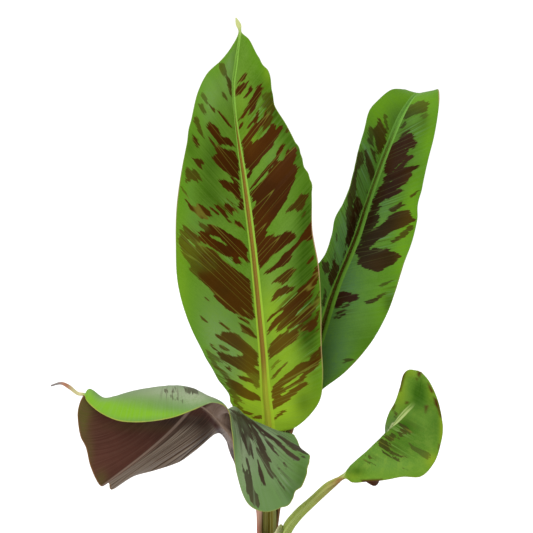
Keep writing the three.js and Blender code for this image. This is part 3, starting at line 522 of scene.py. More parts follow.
REAR_BLOTCHES = [
    (0.5, [(407.5, 116), (407, 113.5), (412, 106), (419, 101.5), (426, 104), (425, 109),
     (410, 116.5)]),
    (0.3, [(422, 115.5), (427, 113), (428, 116), (425.5, 118)]),
    (0.6, [(403, 126.5), (406, 121.5), (406.5, 123), (403.5, 128)]),
    (0.8, [(400.5, 137.5), (405, 132), (409, 130), (408.5, 131.5), (402.5, 137)]),
    (1, [(392, 145.5), (407, 134.5), (411, 133.5), (414.5, 136.5), (412, 138.5), (417.5, 142.5),
     (413.5, 148.5), (410, 147), (405.5, 154.5), (413, 157), (402.5, 166.5), (404.5, 168),
     (417, 165.5), (418.5, 167), (412, 170.5), (409.5, 173.5), (410, 177.5), (406, 183),
     (398.5, 186.5), (395, 189.5), (404, 190), (387.5, 199), (384.5, 198.5), (377, 205.5),
     (378, 208.5), (380, 210), (375, 212.5), (374, 215.5), (379, 215.5), (377, 223), (366.5, 230),
     (364.5, 227), (378.5, 190), (384.5, 183), (384.5, 177.5), (390, 173.5), (384.5, 173),
     (390, 150)]),
    (0.8, [(410.5, 196.5), (417.5, 191), (411, 197.5)]),
    (0.85, [(391, 208.5), (400.5, 202.5), (404, 205.5), (395, 210.5), (391.5, 211.5)]),
    (0.95, [(387, 218.5), (392.5, 214), (400.5, 211.5), (409, 210.5), (410.5, 217), (414, 220.5),
     (403.5, 227), (390, 232), (380.5, 237), (366, 252), (368.5, 251.5), (375.5, 248),
     (379.5, 250.5), (385, 249), (401, 256), (394, 263), (377.5, 272), (369.5, 269.5),
     (357.5, 263.5), (360, 258.5), (359.5, 256), (355, 254.5), (364.5, 235.5), (374.5, 230),
     (391.5, 218)]),
    (0.75, [(392, 243.5), (395.5, 238), (402, 234), (411, 225), (412.5, 226), (405, 236.5)]),
    (0.5, [(380.5, 287), (385, 283), (392, 280), (386.5, 285)]),
    (0.5, [(381, 295), (385.5, 292.5), (386, 293.5), (382, 296)]),
    (1, [(335, 308), (335, 305), (339, 293), (345, 291), (346.5, 293.5), (356, 294.5),
     (358, 297.5), (349, 302.5), (344, 301), (337, 308.5)]),
    (0.85, [(366, 302), (381, 295.5), (374, 302), (368, 303.5)]),
    (0.85, [(343, 307), (347.5, 304.5), (348, 305.5), (344, 308)]),
    (0.85, [(337.5, 313.5), (343, 310), (346.5, 310), (338.5, 314.5)]),
    (0.95, [(339.5, 317.5), (344, 314), (346.5, 313.5), (341, 318)]),
    (0.6, [(335.5, 317), (338.5, 316.5), (336.5, 318.5)]),
    (0.7, [(328.5, 321), (330.5, 317), (329, 321.5)]),
    (0.6, [(343.5, 360), (346.5, 358.5), (352, 359.5), (345, 362.5)]),
    (0.85, [(372, 129.5), (380, 120), (386, 132), (383, 134.5), (385.5, 141), (378.5, 156),
     (375.5, 139)]),
    (0.5, [(384.5, 117.5), (385.5, 115), (388, 130), (386.5, 129)]),
    (0.5, [(370.5, 138.5), (373, 132), (371.5, 139)]),
    (0.8, [(364.5, 152), (366.5, 151), (374, 169.5), (372, 179), (370.5, 181.5), (367, 167)]),
    (0.7, [(371, 150), (375, 153), (377, 161), (376, 163.5), (372, 155.5)]),
    (0.6, [(376.5, 150), (379, 150), (378.5, 157)]),
    (0.6, [(357.5, 152), (362, 152), (364, 162), (361.5, 163.5), (357.5, 156)]),
    (0.65, [(352.5, 176), (356, 182), (354, 199), (349, 210), (348, 198)]),
    (1, [(356.5, 197), (359, 196.5), (361.5, 206), (348, 247), (346.5, 238), (350, 217)]),
    (0.55, [(362.5, 176.5), (365, 184), (367, 194), (363.5, 188)]),
    (0.6, [(336, 234), (339.5, 241), (338.5, 249), (336, 240)]),
    (0.85, [(338.5, 250), (345, 243), (344, 252), (337.5, 263.5), (336.5, 254.5)]),
    (0.8, [(322, 262.5), (328, 262.5), (328.5, 271.5), (324, 272.5)]),
    (0.9, [(336.5, 265), (338, 264), (330, 283.5), (331, 274)]),
    (0.7, [(321, 305), (325.5, 290.5), (325, 296), (322, 305.5)]),
    (0.95, [(344, 230), (347, 240), (333.5, 281), (330, 285), (328.5, 278), (337, 250),
     (339.5, 238)]),
    (0.9, [(386, 180), (392, 178), (386, 192), (371, 218), (362, 238), (364, 226), (370, 212)]),
    (0.85, [(379, 207), (372, 222), (363, 236), (358, 248), (362, 244), (377, 222)]),
    (0.7, [(358, 150), (361, 160), (351, 206), (349, 206), (356, 158)]),
    (0.7, [(350, 198), (352, 210), (347, 228), (343, 240), (342, 232)]),
    (0.6, [(404, 110), (410, 106), (421, 103), (427, 106), (424, 112), (412, 116), (404, 120)]),
    (0.6, [(370, 128), (373, 134), (372, 146), (368, 142)]),
]
REAR_CLEARINGS = [
    [(375, 154), (380, 150), (382, 158), (379, 168), (375, 174), (374, 164)],
    [(356, 172), (360, 166), (368, 188), (366, 198), (358, 199), (355, 186)],
    [(337, 222), (341, 214), (346, 214), (347, 232), (345, 250), (340, 268), (334, 262)],
    [(400, 154.5), (404, 150), (408.5, 146.5), (404.5, 151)],
    [(409, 155), (388.5, 174), (389, 175), (399, 166.5), (409.5, 155.5)],
    [(389, 183), (394, 178.5), (397.5, 177), (391.5, 181.5)],
    [(359, 247), (366, 240), (370, 237.5), (359.5, 247.5)],
]

DROOPING_BLOTCHES = [
    (0.9, [(229, 409), (243, 415), (268, 433.5), (269.5, 437), (233, 413)]),
    (0.85, [(236, 421), (238.5, 423), (241, 431), (246, 438), (248.5, 445), (250.5, 455),
     (249, 457), (240, 435)]),
    (0.85, [(240.5, 420), (244, 424), (248, 432), (254, 458), (253.5, 460.5), (251, 456),
     (247, 441), (241, 426)]),
    (0.9, [(245, 421.5), (251.5, 434), (253.5, 441), (253, 443), (250.5, 440), (245.5, 427)]),
    (0.9, [(247.5, 420), (251.5, 424), (260, 437), (263, 443), (264.5, 450), (270, 460.5),
     (269, 462), (265.5, 459.5), (259, 450.5), (255.5, 438), (249, 425)]),
    (0.8, [(255.5, 447), (259, 450), (266, 460.5), (269, 463), (270, 469), (272.5, 474.5),
     (272, 478.5), (269.5, 477), (266.5, 471.5), (264, 464.5), (256.5, 451.5)]),
    (0.9, [(257.5, 429), (260.5, 430.5), (279, 455.5), (277.5, 456), (268.5, 446)]),
    (0.85, [(263, 431.5), (266, 433), (269.5, 437), (267.5, 437.5), (264.5, 435)]),
    (0.95, [(267.5, 433), (278, 440.5), (290, 452), (295.5, 456), (298, 459.5), (296.5, 461.5),
     (293, 460), (288, 455.5), (271, 438.5)]),
    (0.9, [(275.5, 434), (298, 446.5), (308, 454.5), (306, 455), (294, 448.5), (282, 440.5)]),
    (0.85, [(285, 443), (299, 451.5), (297, 452), (291.5, 449), (287, 446)]),
    (0.7, [(297.5, 452.5), (305, 457.5), (303.5, 458), (299.5, 456)]),
    (0.8, [(245.5, 459.5), (247.5, 459), (249.5, 466), (253.5, 488), (252.5, 489.5)]),
    (0.95, [(256.5, 461), (258, 460.5), (266, 483), (264.5, 485), (261.5, 484.5)]),
    (0.75, [(241, 462), (243, 468), (246.5, 471.5), (249.5, 477), (255, 493), (259, 497),
     (260, 507), (257, 507), (252.5, 503.5), (249, 498.5), (246.5, 492), (244.5, 475), (242, 469)]),
    (0.6, [(273, 473), (280, 481), (286.5, 493), (280, 485.5)]),
    (0.6, [(276, 463), (278.5, 467), (282, 476), (279.5, 473)]),
    (0.75, [(281, 461.5), (284, 462.5), (286, 465.5), (287.5, 469.5), (286, 471)]),
    (0.5, [(275.5, 493.5), (278.5, 498), (277, 499)]),
    (0.45, [(231, 413), (246, 421), (251, 430), (249, 433), (243, 430), (237, 424), (232, 418)]),
    (0.55, [(165, 389.5), (166.5, 389), (168, 393.5)]),
    (0.5, [(171, 391), (175.5, 389.5), (174.5, 392), (172, 393)]),
    (0.5, [(174.5, 387), (176, 387), (177, 391)]),
    (0.35, [(170.5, 396.5), (179.5, 400), (172.5, 398.5)]),
    (0.3, [(181.5, 401), (184, 400.5), (183, 405)]),
    (0.75, [(183.5, 387.5), (192.5, 389), (197.5, 391), (192.5, 394), (187, 391.5)]),
    (0.5, [(187, 386.5), (197.5, 387), (198, 393.5), (190, 393), (185, 391)]),
]

SMALL_BLOTCHES = [
    (0.9, [(380, 443), (383.5, 440), (387.5, 441), (391.5, 449.5), (391.5, 453), (388, 452),
     (380.5, 446.5)]),
    (0.8, [(385, 437.5), (389, 434.5), (393, 433.5), (400, 439), (389, 440)]),
    (0.8, [(400, 423.5), (404, 424.5), (408, 428), (411, 432.5), (409.5, 433.5), (401.5, 427)]),
    (0.85, [(397.5, 432), (401, 433), (405, 435.5), (404, 437.5), (400, 436.5)]),
    (0.8, [(401, 431), (404, 430.5), (408, 434), (409, 436), (405, 434.5)]),
    (0.85, [(392, 437), (395, 437), (398, 438.5), (394, 439)]),
    (0.85, [(384, 451.5), (387, 453), (392, 457), (389.5, 457), (385.5, 454.5)]),
    (0.85, [(390.5, 451.5), (407, 457.5), (402, 457.5), (391, 454.5)]),
    (0.8, [(392, 458), (396, 458), (400.5, 460.5), (397, 461), (393, 459.5)]),
    (0.45, [(408.5, 441.5), (414.5, 447), (429, 453), (431, 458), (427, 459.5), (413, 450),
     (409.5, 446)]),
    (0.7, [(409, 442), (414, 448), (419, 450.5), (415, 450.5), (411, 447.5)]),
    (0.6, [(366.5, 456.5), (370, 455), (372, 459.5), (369, 459)]),
    (0.5, [(363, 460), (368, 461), (374.5, 464.5), (369, 463.5)]),
    (0.45, [(403, 468), (409, 470.5), (403.5, 469.5)]),
    (0.5, [(395.5, 412), (397, 413), (396, 418.5), (395, 417)]),
]
SMALL_SCORCHES = [
    [(403, 372.5), (406, 371), (401, 391), (399.5, 391)],
    [(417.5, 372), (421, 371.5), (421.5, 373.5), (419, 377.5), (417.5, 375)],
    [(416, 378), (417.5, 378.5), (417, 380)],
    [(428, 383), (431, 387), (434, 392.5), (431.5, 392.5), (429, 388)],
    [(434, 397), (437.5, 400), (441.5, 416), (440, 416), (437.5, 408), (435, 404.5)],
    [(405.5, 404), (406.5, 401.5), (409, 402), (407.5, 404)],
    [(425, 406), (428.5, 405.5), (427, 410), (425.5, 413.5)],
    [(400, 386), (402, 384), (401.5, 389), (399.5, 392)],
    [(393.5, 405), (395.5, 404.5), (394.5, 408), (393, 411)],
    [(395.5, 413), (397, 413.5), (396.5, 416)],
    [(440, 414), (442, 414), (442, 418), (440.5, 417)],
    [(439, 444), (440.5, 445), (438.5, 449.5)],
    [(361, 480), (383, 479), (380, 486), (366, 486.5)],
]


def through(points, places):
    """Points on a smooth line through all stations, at the given station numbers."""
    points = np.asarray(points, float)
    padded = np.vstack([2 * points[0] - points[1], points, 2 * points[-1] - points[-2]])
    first = np.clip(np.floor(places).astype(int), 0, len(points) - 2)
    p0, p1, p2, p3 = (padded[first + k] for k in range(4))
    gaps = [np.sum((b - a) ** 2, axis=1) ** 0.25 for a, b in ((p0, p1), (p1, p2), (p2, p3))]
    d1 = np.where(gaps[1] < 1e-4, 1, gaps[1])[:, None]
    d0, d2 = (np.where(gaps[k] < 1e-4, d1[:, 0], gaps[k])[:, None] for k in (0, 2))
    t1 = ((p1 - p0) / d0 - (p2 - p0) / (d0 + d1) + (p2 - p1) / d1) * d1
    t2 = ((p2 - p1) / d1 - (p3 - p1) / (d1 + d2) + (p3 - p2) / d2) * d1
    w = (places - first)[:, None]
    square = -3 * p1 + 3 * p2 - 2 * t1 - t2
    cube = 2 * p1 - 2 * p2 + t1 + t2
    return p1 + t1 * w + square * w**2 + cube * w**3


def unit(v):
    """Vectors of length one along the given ones."""
    return v / np.maximum(np.linalg.norm(v, axis=-1, keepdims=True), 1e-9)


def vein_points(mid, vein, trough):
    """Inner, outer and end point of a vein. A vein given by its end rises off the midrib."""
    if np.ndim(vein) == 2:
        return np.array(vein, float)
    end = np.array(vein, float)
    rise = trough * min(1, np.linalg.norm(end - mid) / TROUGH_REACH)
    points = [mid + (end - mid) * share for share in THIRDS]
    for point, share in zip(points, THIRDS):
        point[1] -= rise * math.sin(math.pi * share)
    return np.array(points)


def stations_of(leaf):
    """Middles, left and right vein points, midrib sections and skins from foot to tail."""
    petiole, blade, tail = leaf["petiole"], leaf["blade"], leaf["tail"]
    mids = np.array([p[0] for p in petiole] + [row[0] for row in blade] + list(tail), float)
    base, tip = (np.array(section, float) for section in leaf["rib"])
    start, end = len(petiole), len(petiole) + len(blade) - 1
    tail_side = unit(np.array(blade[-1][2], float) - np.array(blade[-1][1], float))
    wings, ribs, skins = [], [], []
    for i, mid in enumerate(mids):
        grown = min(1, max(0, (i - start) / (end - start)))
        rib, skin = base + (tip - base) * grown, SKIN
        if i < start:
            facing, half = np.array(petiole[i][1], float), petiole[i][2]
            along = unit(mids[i + 1] - mids[max(0, i - 1)])
            up = unit(facing - along * facing.dot(along))
            side, skin = np.cross(along, up), PETIOLE_SKIN
            shares = np.array(PETIOLE_COLUMNS)[:, None]
            lift = mid + up * PETIOLE_CUP * half * shares**2
            wings.append([lift + side * sign * half * shares for sign in (-1, 1)])
        elif i > end:
            half = leaf["tail_halves"][i - end - 1]
            shares = np.array(THIRDS)[:, None]
            wings.append([mid + tail_side * sign * half * shares for sign in (-1, 1)])
            rib = np.array(TAIL_RIB)
        else:
            row = blade[i - start]
            wings.append([vein_points(mid, vein, leaf["trough"]) for vein in row[1:]])
            rib = np.array(TIP_RIB) if i == end else rib
            skin = (SKIN + PETIOLE_SKIN) / 2 if i == start else SKIN
        ribs.append(rib)
        skins.append((i, skin, 0))
    return mids, np.array(wings), np.array(ribs), np.array(skins, float)


def across(knots, share):
    """Points on each row's half vein, from the midrib at 0 to the margin at 1."""
    s = share[..., None]
    weights = (
        (1 - 3 * s) * (2 - 3 * s) * (1 - s) / 2,
        9 * s * (2 - 3 * s) * (1 - s) / 2,
        -9 * s * (1 - 3 * s) * (1 - s) / 2,
        s * (1 - 3 * s) * (2 - 3 * s) / 2,
    )
    return sum(weight * knot[:, None, :] for weight, knot in zip(weights, knots))


def even_places(mids, wings, rows):
    """Station numbers of rows that lie about equally far apart on the midrib and margins."""
    dense = np.linspace(0, len(mids) - 1, 60 * len(mids))
    lines = [through(points, dense) for points in (mids, wings[:, 0, 2], wings[:, 1, 2])]
    steps = sum(np.linalg.norm(np.diff(line, axis=0), axis=1) for line in lines)
    run = np.concatenate([[0], np.cumsum(steps)])
    return np.interp(np.linspace(0, run[-1], rows + 1), run, dense)


def normals_of(grid):
    """Normals of a grid of points, whose columns run left to right and rows foot to tip."""
    return unit(np.cross(np.gradient(grid, axis=1), np.gradient(grid, axis=0)))


def waves(seed, places, pitch, octaves=2):
    """Smooth repeatable noise along a line, from about -1 to 1, with bumps a pitch apart."""
    total = np.zeros_like(places)
    for octave in range(octaves):
        draw = np.random.default_rng(seed + octave)
        knots = draw.uniform(-1, 1, WAVE_KNOTS)
        at = places / pitch * 2**octave + 997 + 31 * octave
        low = np.floor(at).astype(int) % (WAVE_KNOTS - 1)
        w = at - np.floor(at)
        w = w * w * (3 - 2 * w)
        total += (knots[low] * (1 - w) + knots[low + 1] * w) * OCTAVE_SHARE**octave
    return total


class Sheet:
    """A leaf's fine grid of points with what its colours need to know about each point."""

    def __init__(self, leaf, rows, columns, rib_widths=None):
        mids, wings, ribs, skins = stations_of(leaf)
        places = even_places(mids, wings, rows)
        self.places = places
        self.blade_start = len(leaf["petiole"])
        self.blade_end = self.blade_start + len(leaf["blade"]) - 1
        grown = (places - self.blade_start) / (self.blade_end - self.blade_start)
        midrib = through(mids, places)
        section = through(ribs, places)
        if rib_widths:
            shares, widths = zip(*rib_widths)
            section[:, 0] = np.interp(grown, shares, widths)
        halves = []
        for side in (0, 1):
            knots = [midrib] + [through(wings[:, side, k], places) for k in range(3)]
            length = np.linalg.norm(knots[3] - midrib, axis=1)
            rib_share = np.minimum(WIDEST_RIB_SHARE, section[:, 0] / length)[:, None]
            inner = rib_share * np.array(RIB_COLUMNS)
            blade = np.linspace(0, 1, columns + 1)[1:]
            outer = inner[:, -1:] + (1 - inner[:, -1:]) * blade
            share = np.hstack([inner, outer])
            points = across(knots, share)
            rib_x = np.hstack([np.array(RIB_COLUMNS) + 0 * inner, FAR_FROM_RIB + 0 * outer])
            middle = across(knots, np.full((len(places), 1), 0.5))[:, 0]
            gaps = np.linalg.norm(np.diff(middle, axis=0), axis=1)
            lane = np.concatenate([[0], np.cumsum(gaps)])
            steps = np.linalg.norm(np.diff(points, axis=1), axis=2)
            out = np.hstack([np.zeros((len(places), 1)), np.cumsum(steps, axis=1)])
            halves.append((points, share, rib_x, lane[:, None] + 0 * share, out))
        left, right = halves

        def join(k, sign):
            return np.concatenate([sign * left[k][:, :0:-1], right[k]], axis=1)

        self.centre = join(0, 1)
        self.t = join(1, -1)
        self.rib_x = join(2, 1)
        self.lane = join(3, 1)
        self.out = join(4, 1)
        self.section = section
        self.skin = through(skins, places)[:, 1]
        self.vein_way = unit(np.gradient(self.centre, axis=1)) * np.sign(self.t)[..., None]
        self.blade_share = np.clip(grown, 0, 1)[:, None] + 0 * self.t
        self.on_blade = np.clip(places - self.blade_start + 0.5, 0, 1)[:, None]
        self.on_blade = self.on_blade * np.clip(self.blade_end - places, 0, 1)[:, None]

    def lift(self, heights):
        """Moves the sheet along its normals."""
        self.centre = self.centre + normals_of(self.centre) * (heights * self.on_blade)[..., None]

    def faces(self):
        """The points of the upper side and of the underside."""
        reach = np.abs(self.t)
        normal = normals_of(self.centre)
        depth, groove = (self.section[:, k : k + 1] for k in (1, 2))
        x = np.minimum(self.rib_x, RIB_COLUMNS[-1])
        dip = np.interp(x, GROOVE_ACROSS, GROOVE_DEPTHS) * groove
        keel = depth * (1 - (x / RIB_COLUMNS[-1]) ** 2) ** KEEL_POWER
        skin = self.skin[:, None] - (SKIN - EDGE_SKIN) * reach**THINNING_POWER * self.on_blade
        upper = self.centre + normal * (skin / 2 - dip)[..., None]
        under = self.centre - normal * (skin / 2 + keel)[..., None]
        return upper, under


def in_photo(points):
    """Where points show in the photograph, across and down in its own frame."""
    near = -CAMERA_PLACE[1] / (points[..., 1] - CAMERA_PLACE[1])
    right = PHOTO_SIDE / 2 + (points[..., 0] - CAMERA_PLACE[0]) * near / PIXEL
    down = PHOTO_SIDE / 2 - (points[..., 2] - CAMERA_PLACE[2]) * near / PIXEL
    return right, down


def depth_in(outline, right, down, way):
    """How deep points lie inside a closed outline, in the photograph's pixels; negative outside.

    Lengths along the veins count less, so that a blotch frays at its ends more than its sides.
    """
    corners = np.array(outline, float)
    inside = np.zeros(right.shape, bool)
    nearest = np.full(right.shape, 1e9)
    far, off = [], []
    for x, y in corners:
        far.append(((x - right) * way[..., 0] + (y - down) * way[..., 1]) / END_FRAY)
        off.append((y - down) * way[..., 0] - (x - right) * way[..., 1])
    for k, ((ax, ay), (bx, by)) in enumerate(zip(corners, np.roll(corners, -1, axis=0))):
        after = (k + 1) % len(corners)
        ex, ey = far[after] - far[k], off[after] - off[k]
        along = -(far[k] * ex + off[k] * ey) / np.maximum(ex * ex + ey * ey, 1e-9)
        along = np.clip(along, 0, 1)
        nearest = np.minimum(nearest, (far[k] + along * ex) ** 2 + (off[k] + along * ey) ** 2)
        if ay != by:
            crosses = (ay > down) != (by > down)
            inside ^= crosses & (right < ax + (down - ay) * (bx - ax) / (by - ay))
    return np.where(inside, 1, -1) * np.sqrt(nearest)


def depth_near(outline, right, down, way):
    """Which points are in or near the box round an outline, and their depths in millimetres."""
    x, y = zip(*outline)
    near = (right > min(x) - NEAR_OUTLINE) & (right < max(x) + NEAR_OUTLINE)
    near = near & (down > min(y) - NEAR_OUTLINE) & (down < max(y) + NEAR_OUTLINE)
    return near, depth_in(outline, right[near], down[near], way[near]) * PIXEL


def marks_on(right, down, way, blotches, clearings=()):
    """How deep each point is in a blotch, in millimetres, and how strong the blotch is."""
    mark = np.full(right.shape, OUTSIDE)
    tone_sum = np.zeros(right.shape)
    weight_sum = np.full(right.shape, 1e-6)
    for strength, outline in blotches:
        near, depth = depth_near(outline, right, down, way)
        mark[near] = np.maximum(mark[near], depth)
        weight = np.exp(np.clip(depth, *TONE_REACH) * TONE_DROP)
        tone_sum[near] += strength * weight
        weight_sum[near] += weight
    for outline in clearings:
        near, depth = depth_near(outline, right, down, way)
        mark[near] = np.minimum(mark[near], -depth)
    return mark, tone_sum / weight_sum


def covered(right, down, way, outlines):
    """One inside the outlines, nought outside, with a soft edge between."""
    depth, _ = marks_on(right, down, way, [(1, outline) for outline in outlines])
    return np.clip(depth / SOFT_EDGE + 0.5, 0, 1)


def tinted(right, down, patches):
    """How strongly soft oval patches of a tint cover each point."""
    total = np.zeros(right.shape)
    for x, y, wide, high, strength in patches:
        total += strength * np.exp(-(((right - x) / wide) ** 2) - ((down - y) / high) ** 2)
    return np.clip(total, 0, 1)


def draw_margin(sheet, notches):
    """Draws the margin in round places of the photograph, or out where a depth is below 0."""
    reach = np.abs(sheet.t) ** MARGIN_POWER
    middle = sheet.centre[:, sheet.t.shape[1] // 2]
    for column, half in ((0, sheet.t < 0), (-1, sheet.t > 0)):
        margin = sheet.centre[:, column]
        right, down = in_photo(margin)
        pull = np.zeros(len(margin))
        for at_right, at_down, size, depth in notches:
            gap = np.hypot(right - at_right, down - at_down) / size
            pull += depth * np.clip(1 - gap**2, 0, 1) ** 2
        sheet.centre += unit(middle - margin)[:, None] * (pull[:, None] * reach * half)[..., None]


def ragged(sheet, seed):
    """Shifts along the veins, different in each lane between two side veins."""
    ways = [waves(seed + k, sheet.lane + 900 * (sheet.t < 0), RAGGED_LANE) for k in (0, 50)]
    turn = np.sin(sheet.out * math.pi / RAGGED_LENGTH) ** 2
    return RAGGED_DEPTH * (ways[0] * turn + ways[1] * (1 - turn))


def ruled_marks(sheet, seed):
    """Blotches by rule, for sides that the photograph doesn't show: lanes with ragged ends."""
    draw = np.random.default_rng(seed)
    mark = np.full(sheet.t.shape, OUTSIDE)
    for _ in range(UNSEEN_BLOTCHES):
        side = draw.choice((-1, 1))
        lane = draw.uniform(*UNSEEN_LANES) * sheet.lane.max()
        half = draw.uniform(*UNSEEN_HALF_WIDTHS)
        first, last = np.sort(draw.uniform(*UNSEEN_REACH, 2))
        slant = draw.uniform(-UNSEEN_SLANT, UNSEEN_SLANT)
        reach = np.abs(sheet.t)
        edge = sheet.out / np.maximum(reach, 0.05)
        gap = half - np.abs(sheet.lane - lane - slant * (reach - 0.5))
        ends = np.minimum(reach - first, last - reach) * edge
        depth = np.where(np.sign(sheet.t) == side, np.minimum(gap, ends), OUTSIDE)
        mark = np.maximum(mark, depth)
    return mark


def pleating(sheet, reach, side):
    """How high pleats stand, where their look with its painted light, sheen and shade shows, and
    the crest at their end, which gets a painted highlight.
    """
    swell = np.clip((reach - PLEAT_REACH) / PLEAT_RISE, 0, 1)
    swell = swell * np.clip((1 - reach) / PLEAT_FALL, 0, 1)
    swell = swell * np.clip((PLEATED_LENGTH - 2 - sheet.lane) / PLEAT_FADE, 0, 1) * side
    pleated = np.clip((reach - PLEATED_REACH) / PLEATED_RISE, 0, 1) * side
    pleated = pleated * np.clip((PLEATED_LENGTH - sheet.lane) / PLEATED_FADE, 0, 1)
    crest = np.clip(CREST_WIDTH - np.abs(sheet.lane - PLEATED_LENGTH - 1), 0, 1) * side
    return swell, pleated, crest


def leaf_mesh(name, sheet, values, materials):
    """A closed leaf: upper side, underside and rim, carrying values for its colours."""
    upper, under = sheet.faces()
    rows, columns = sheet.t.shape
    points = np.concatenate([upper.reshape(-1, 3), under.reshape(-1, 3)]) * MM
    number = np.arange(rows * columns).reshape(rows, columns)
    low_left, low_right = number[:-1, :-1], number[:-1, 1:]
    top_left, top_right = number[1:, :-1], number[1:, 1:]
    front = np.stack([low_left, low_right, top_right, top_left], axis=-1).reshape(-1, 4)
    back = np.stack([low_left, top_left, top_right, low_right], axis=-1).reshape(-1, 4)
    back = back + rows * columns
    loop = np.concatenate([number[0], number[1:, -1], number[-1, -2::-1], number[-2:0:-1, 0]])
    after = np.roll(loop, -1)
    rim = np.stack([loop, loop + rows * columns, after + rows * columns, after], axis=-1)
    faces = np.concatenate([front, back, rim])
    mesh = bpy.data.meshes.new(name)
    mesh.from_pydata(points.tolist(), [], faces.tolist())
    finish = np.concatenate([np.zeros(len(front)), np.ones(len(back)), np.zeros(len(rim))])
    mesh.polygons.foreach_set("material_index", finish.astype(np.int32))
    mesh.polygons.foreach_set("use_smooth", np.ones(len(faces), bool))
    for material in materials:
        mesh.materials.append(material)
    for key, value in values.items():
        layer = mesh.attributes.new(key, "FLOAT", "POINT")
        layer.data.foreach_set("value", np.tile(value.ravel(), 2).astype(np.float32))
    sharp_edges(mesh, set(loop) | set(loop + rows * columns))
    return place(name, mesh)


def sharp_edges(mesh, rim_points):
    """Keeps the thin rim's shading apart from both sides of the leaf."""
    ends = np.empty(2 * len(mesh.edges), np.int32)
    mesh.edges.foreach_get("vertices", ends)
    on_rim = np.isin(ends.reshape(-1, 2), np.fromiter(rim_points, np.int32)).all(axis=1)
    layer = mesh.attributes.new("sharp_edge", "BOOLEAN", "EDGE")
    layer.data.foreach_set("value", on_rim)


def place(name, data):
    """Puts a mesh, a camera or a lamp into the scene."""
    piece = bpy.data.objects.new(name, data)
    bpy.context.scene.collection.objects.link(piece)
    return piece


def paint(red, green, blue):
    """A colour as a painter names it, 0 to 255, as the light that it reflects."""
    shades = [c / 255 for c in (red, green, blue)]
    linear = [c / 12.92 if c <= 0.04045 else ((c + 0.055) / 1.055) ** 2.4 for c in shades]
    return (*[c / LIGHT_GAIN for c in linear], 1.0)


def paints(look):
    """A look with its colours as paints."""
    return {
        key: paint(*value) if isinstance(value, tuple) and len(value) == 3 else value
        for key, value in look.items()
    }


class Nodes:
    """Short names for the nodes of one material or node group."""

    def __init__(self, tree):
        self.tree = tree

    def add(self, kind, **settings):
        node = self.tree.nodes.new(kind)
        for key, value in settings.items():
            setattr(node, key, value)
        return node

    def feed(self, socket, value):
        """Links a socket to another one, or sets it to a value."""
        if isinstance(value, bpy.types.NodeSocket):
            self.tree.links.new(value, socket)
        else:
            socket.default_value = value

    def carried(self, name):
        return self.add("ShaderNodeAttribute", attribute_name=name).outputs["Fac"]

    def math(self, operation, *values, clamp=False):
        node = self.add("ShaderNodeMath", operation=operation, use_clamp=clamp)
        for socket, value in zip(node.inputs, values):
            self.feed(socket, value)
        return node.outputs[0]

    def times(self, first, second):
        return self.math("MULTIPLY", first, second)

    def mix(self, share, first, second):
        node = self.add("ShaderNodeMix", data_type="RGBA")
        for key, value in (("Factor", share), ("A", first), ("B", second)):
            socket = next(s for s in node.inputs if s.name == key and s.enabled)
            self.feed(socket, value)
        return next(s for s in node.outputs if s.enabled)

    def ramp(self, value, low, high, first=0.0, last=1.0):
        """A smooth step from first, where value is low, to last, where it is high."""
        node = self.add("ShaderNodeMapRange", interpolation_type="SMOOTHSTEP")
        for socket, entry in zip(node.inputs, (value, low, high, first, last)):
            self.feed(socket, entry)
        return node.outputs[0]

    def layers(self, look, colour, *pairs):
        """Lays a look's colours over a ground, each by its share or by a carried value."""
        colour = look[colour] if isinstance(colour, str) else colour
        for share, key in pairs:
            share = self.carried(share) if isinstance(share, str) else share
            colour = self.mix(share, colour, look[key])
        return colour

    def vector(self, x, y, z=0.0):
        node = self.add("ShaderNodeCombineXYZ")
        for socket, value in zip(node.inputs, (x, y, z)):
            self.feed(socket, value)
        return node.outputs[0]

    def height(self, vector):
        node = self.add("ShaderNodeSeparateXYZ")
        self.feed(node.inputs[0], vector)
        return node.outputs["Z"]

    def noise(self, vector, scale, detail=2.0, rough=0.5):
        node = self.add("ShaderNodeTexNoise")
        self.feed(node.inputs["Vector"], vector)
        for key, value in (("Scale", scale), ("Detail", detail), ("Roughness", rough)):
            self.feed(node.inputs[key], value)
        return node.outputs["Fac"]

    def group(self, tree, **values):
        node = self.add("ShaderNodeGroup", node_tree=tree)
        for key, value in values.items():
            self.feed(node.inputs[key.capitalize()], value)
        return node.outputs


def new_group(name, inputs, outputs):
    """An empty node group with named sockets, its helper and its two end nodes."""
    tree = bpy.data.node_groups.new(name, "ShaderNodeTree")
    for key, start in inputs.items():
        kind = "NodeSocketVector" if start is None else "NodeSocketFloat"
        socket = tree.interface.new_socket(key, in_out="INPUT", socket_type=kind)
        if start is not None:
            socket.default_value = start
    for key in outputs:
        tree.interface.new_socket(key, in_out="OUTPUT", socket_type="NodeSocketFloat")
    nodes = Nodes(tree)
    return tree, nodes, nodes.add("NodeGroupInput").outputs, nodes.add("NodeGroupOutput").inputs


def vein_group():
    """Side veins: fine ribs all over and a paler, broader vein here and there."""
    tree, nodes, given, out = new_group(
        "side_veins", {"Lane": 0.0, "Out": 0.0, "Pitch": 1.3, "Spread": 7.0}, ("Fine", "Broad")
    )
    lanes = nodes.math("DIVIDE", given["Lane"], given["Pitch"])
    drift = nodes.times(given["Out"], 0.012)
    wide = nodes.math("DIVIDE", given["Lane"], given["Spread"])
    bend = nodes.times(given["Out"], 0.008)
    slow = nodes.noise(nodes.vector(wide, bend, 3.0), 1.0, 0.0)
    off = nodes.math("ABSOLUTE", nodes.math("SUBTRACT", slow, 0.5))
    nodes.feed(out["Fine"], nodes.noise(nodes.vector(lanes, drift), 1.0, 1.0))
    nodes.feed(out["Broad"], nodes.ramp(off, 0.0, 0.022, 1.0, 0.0))
    return tree


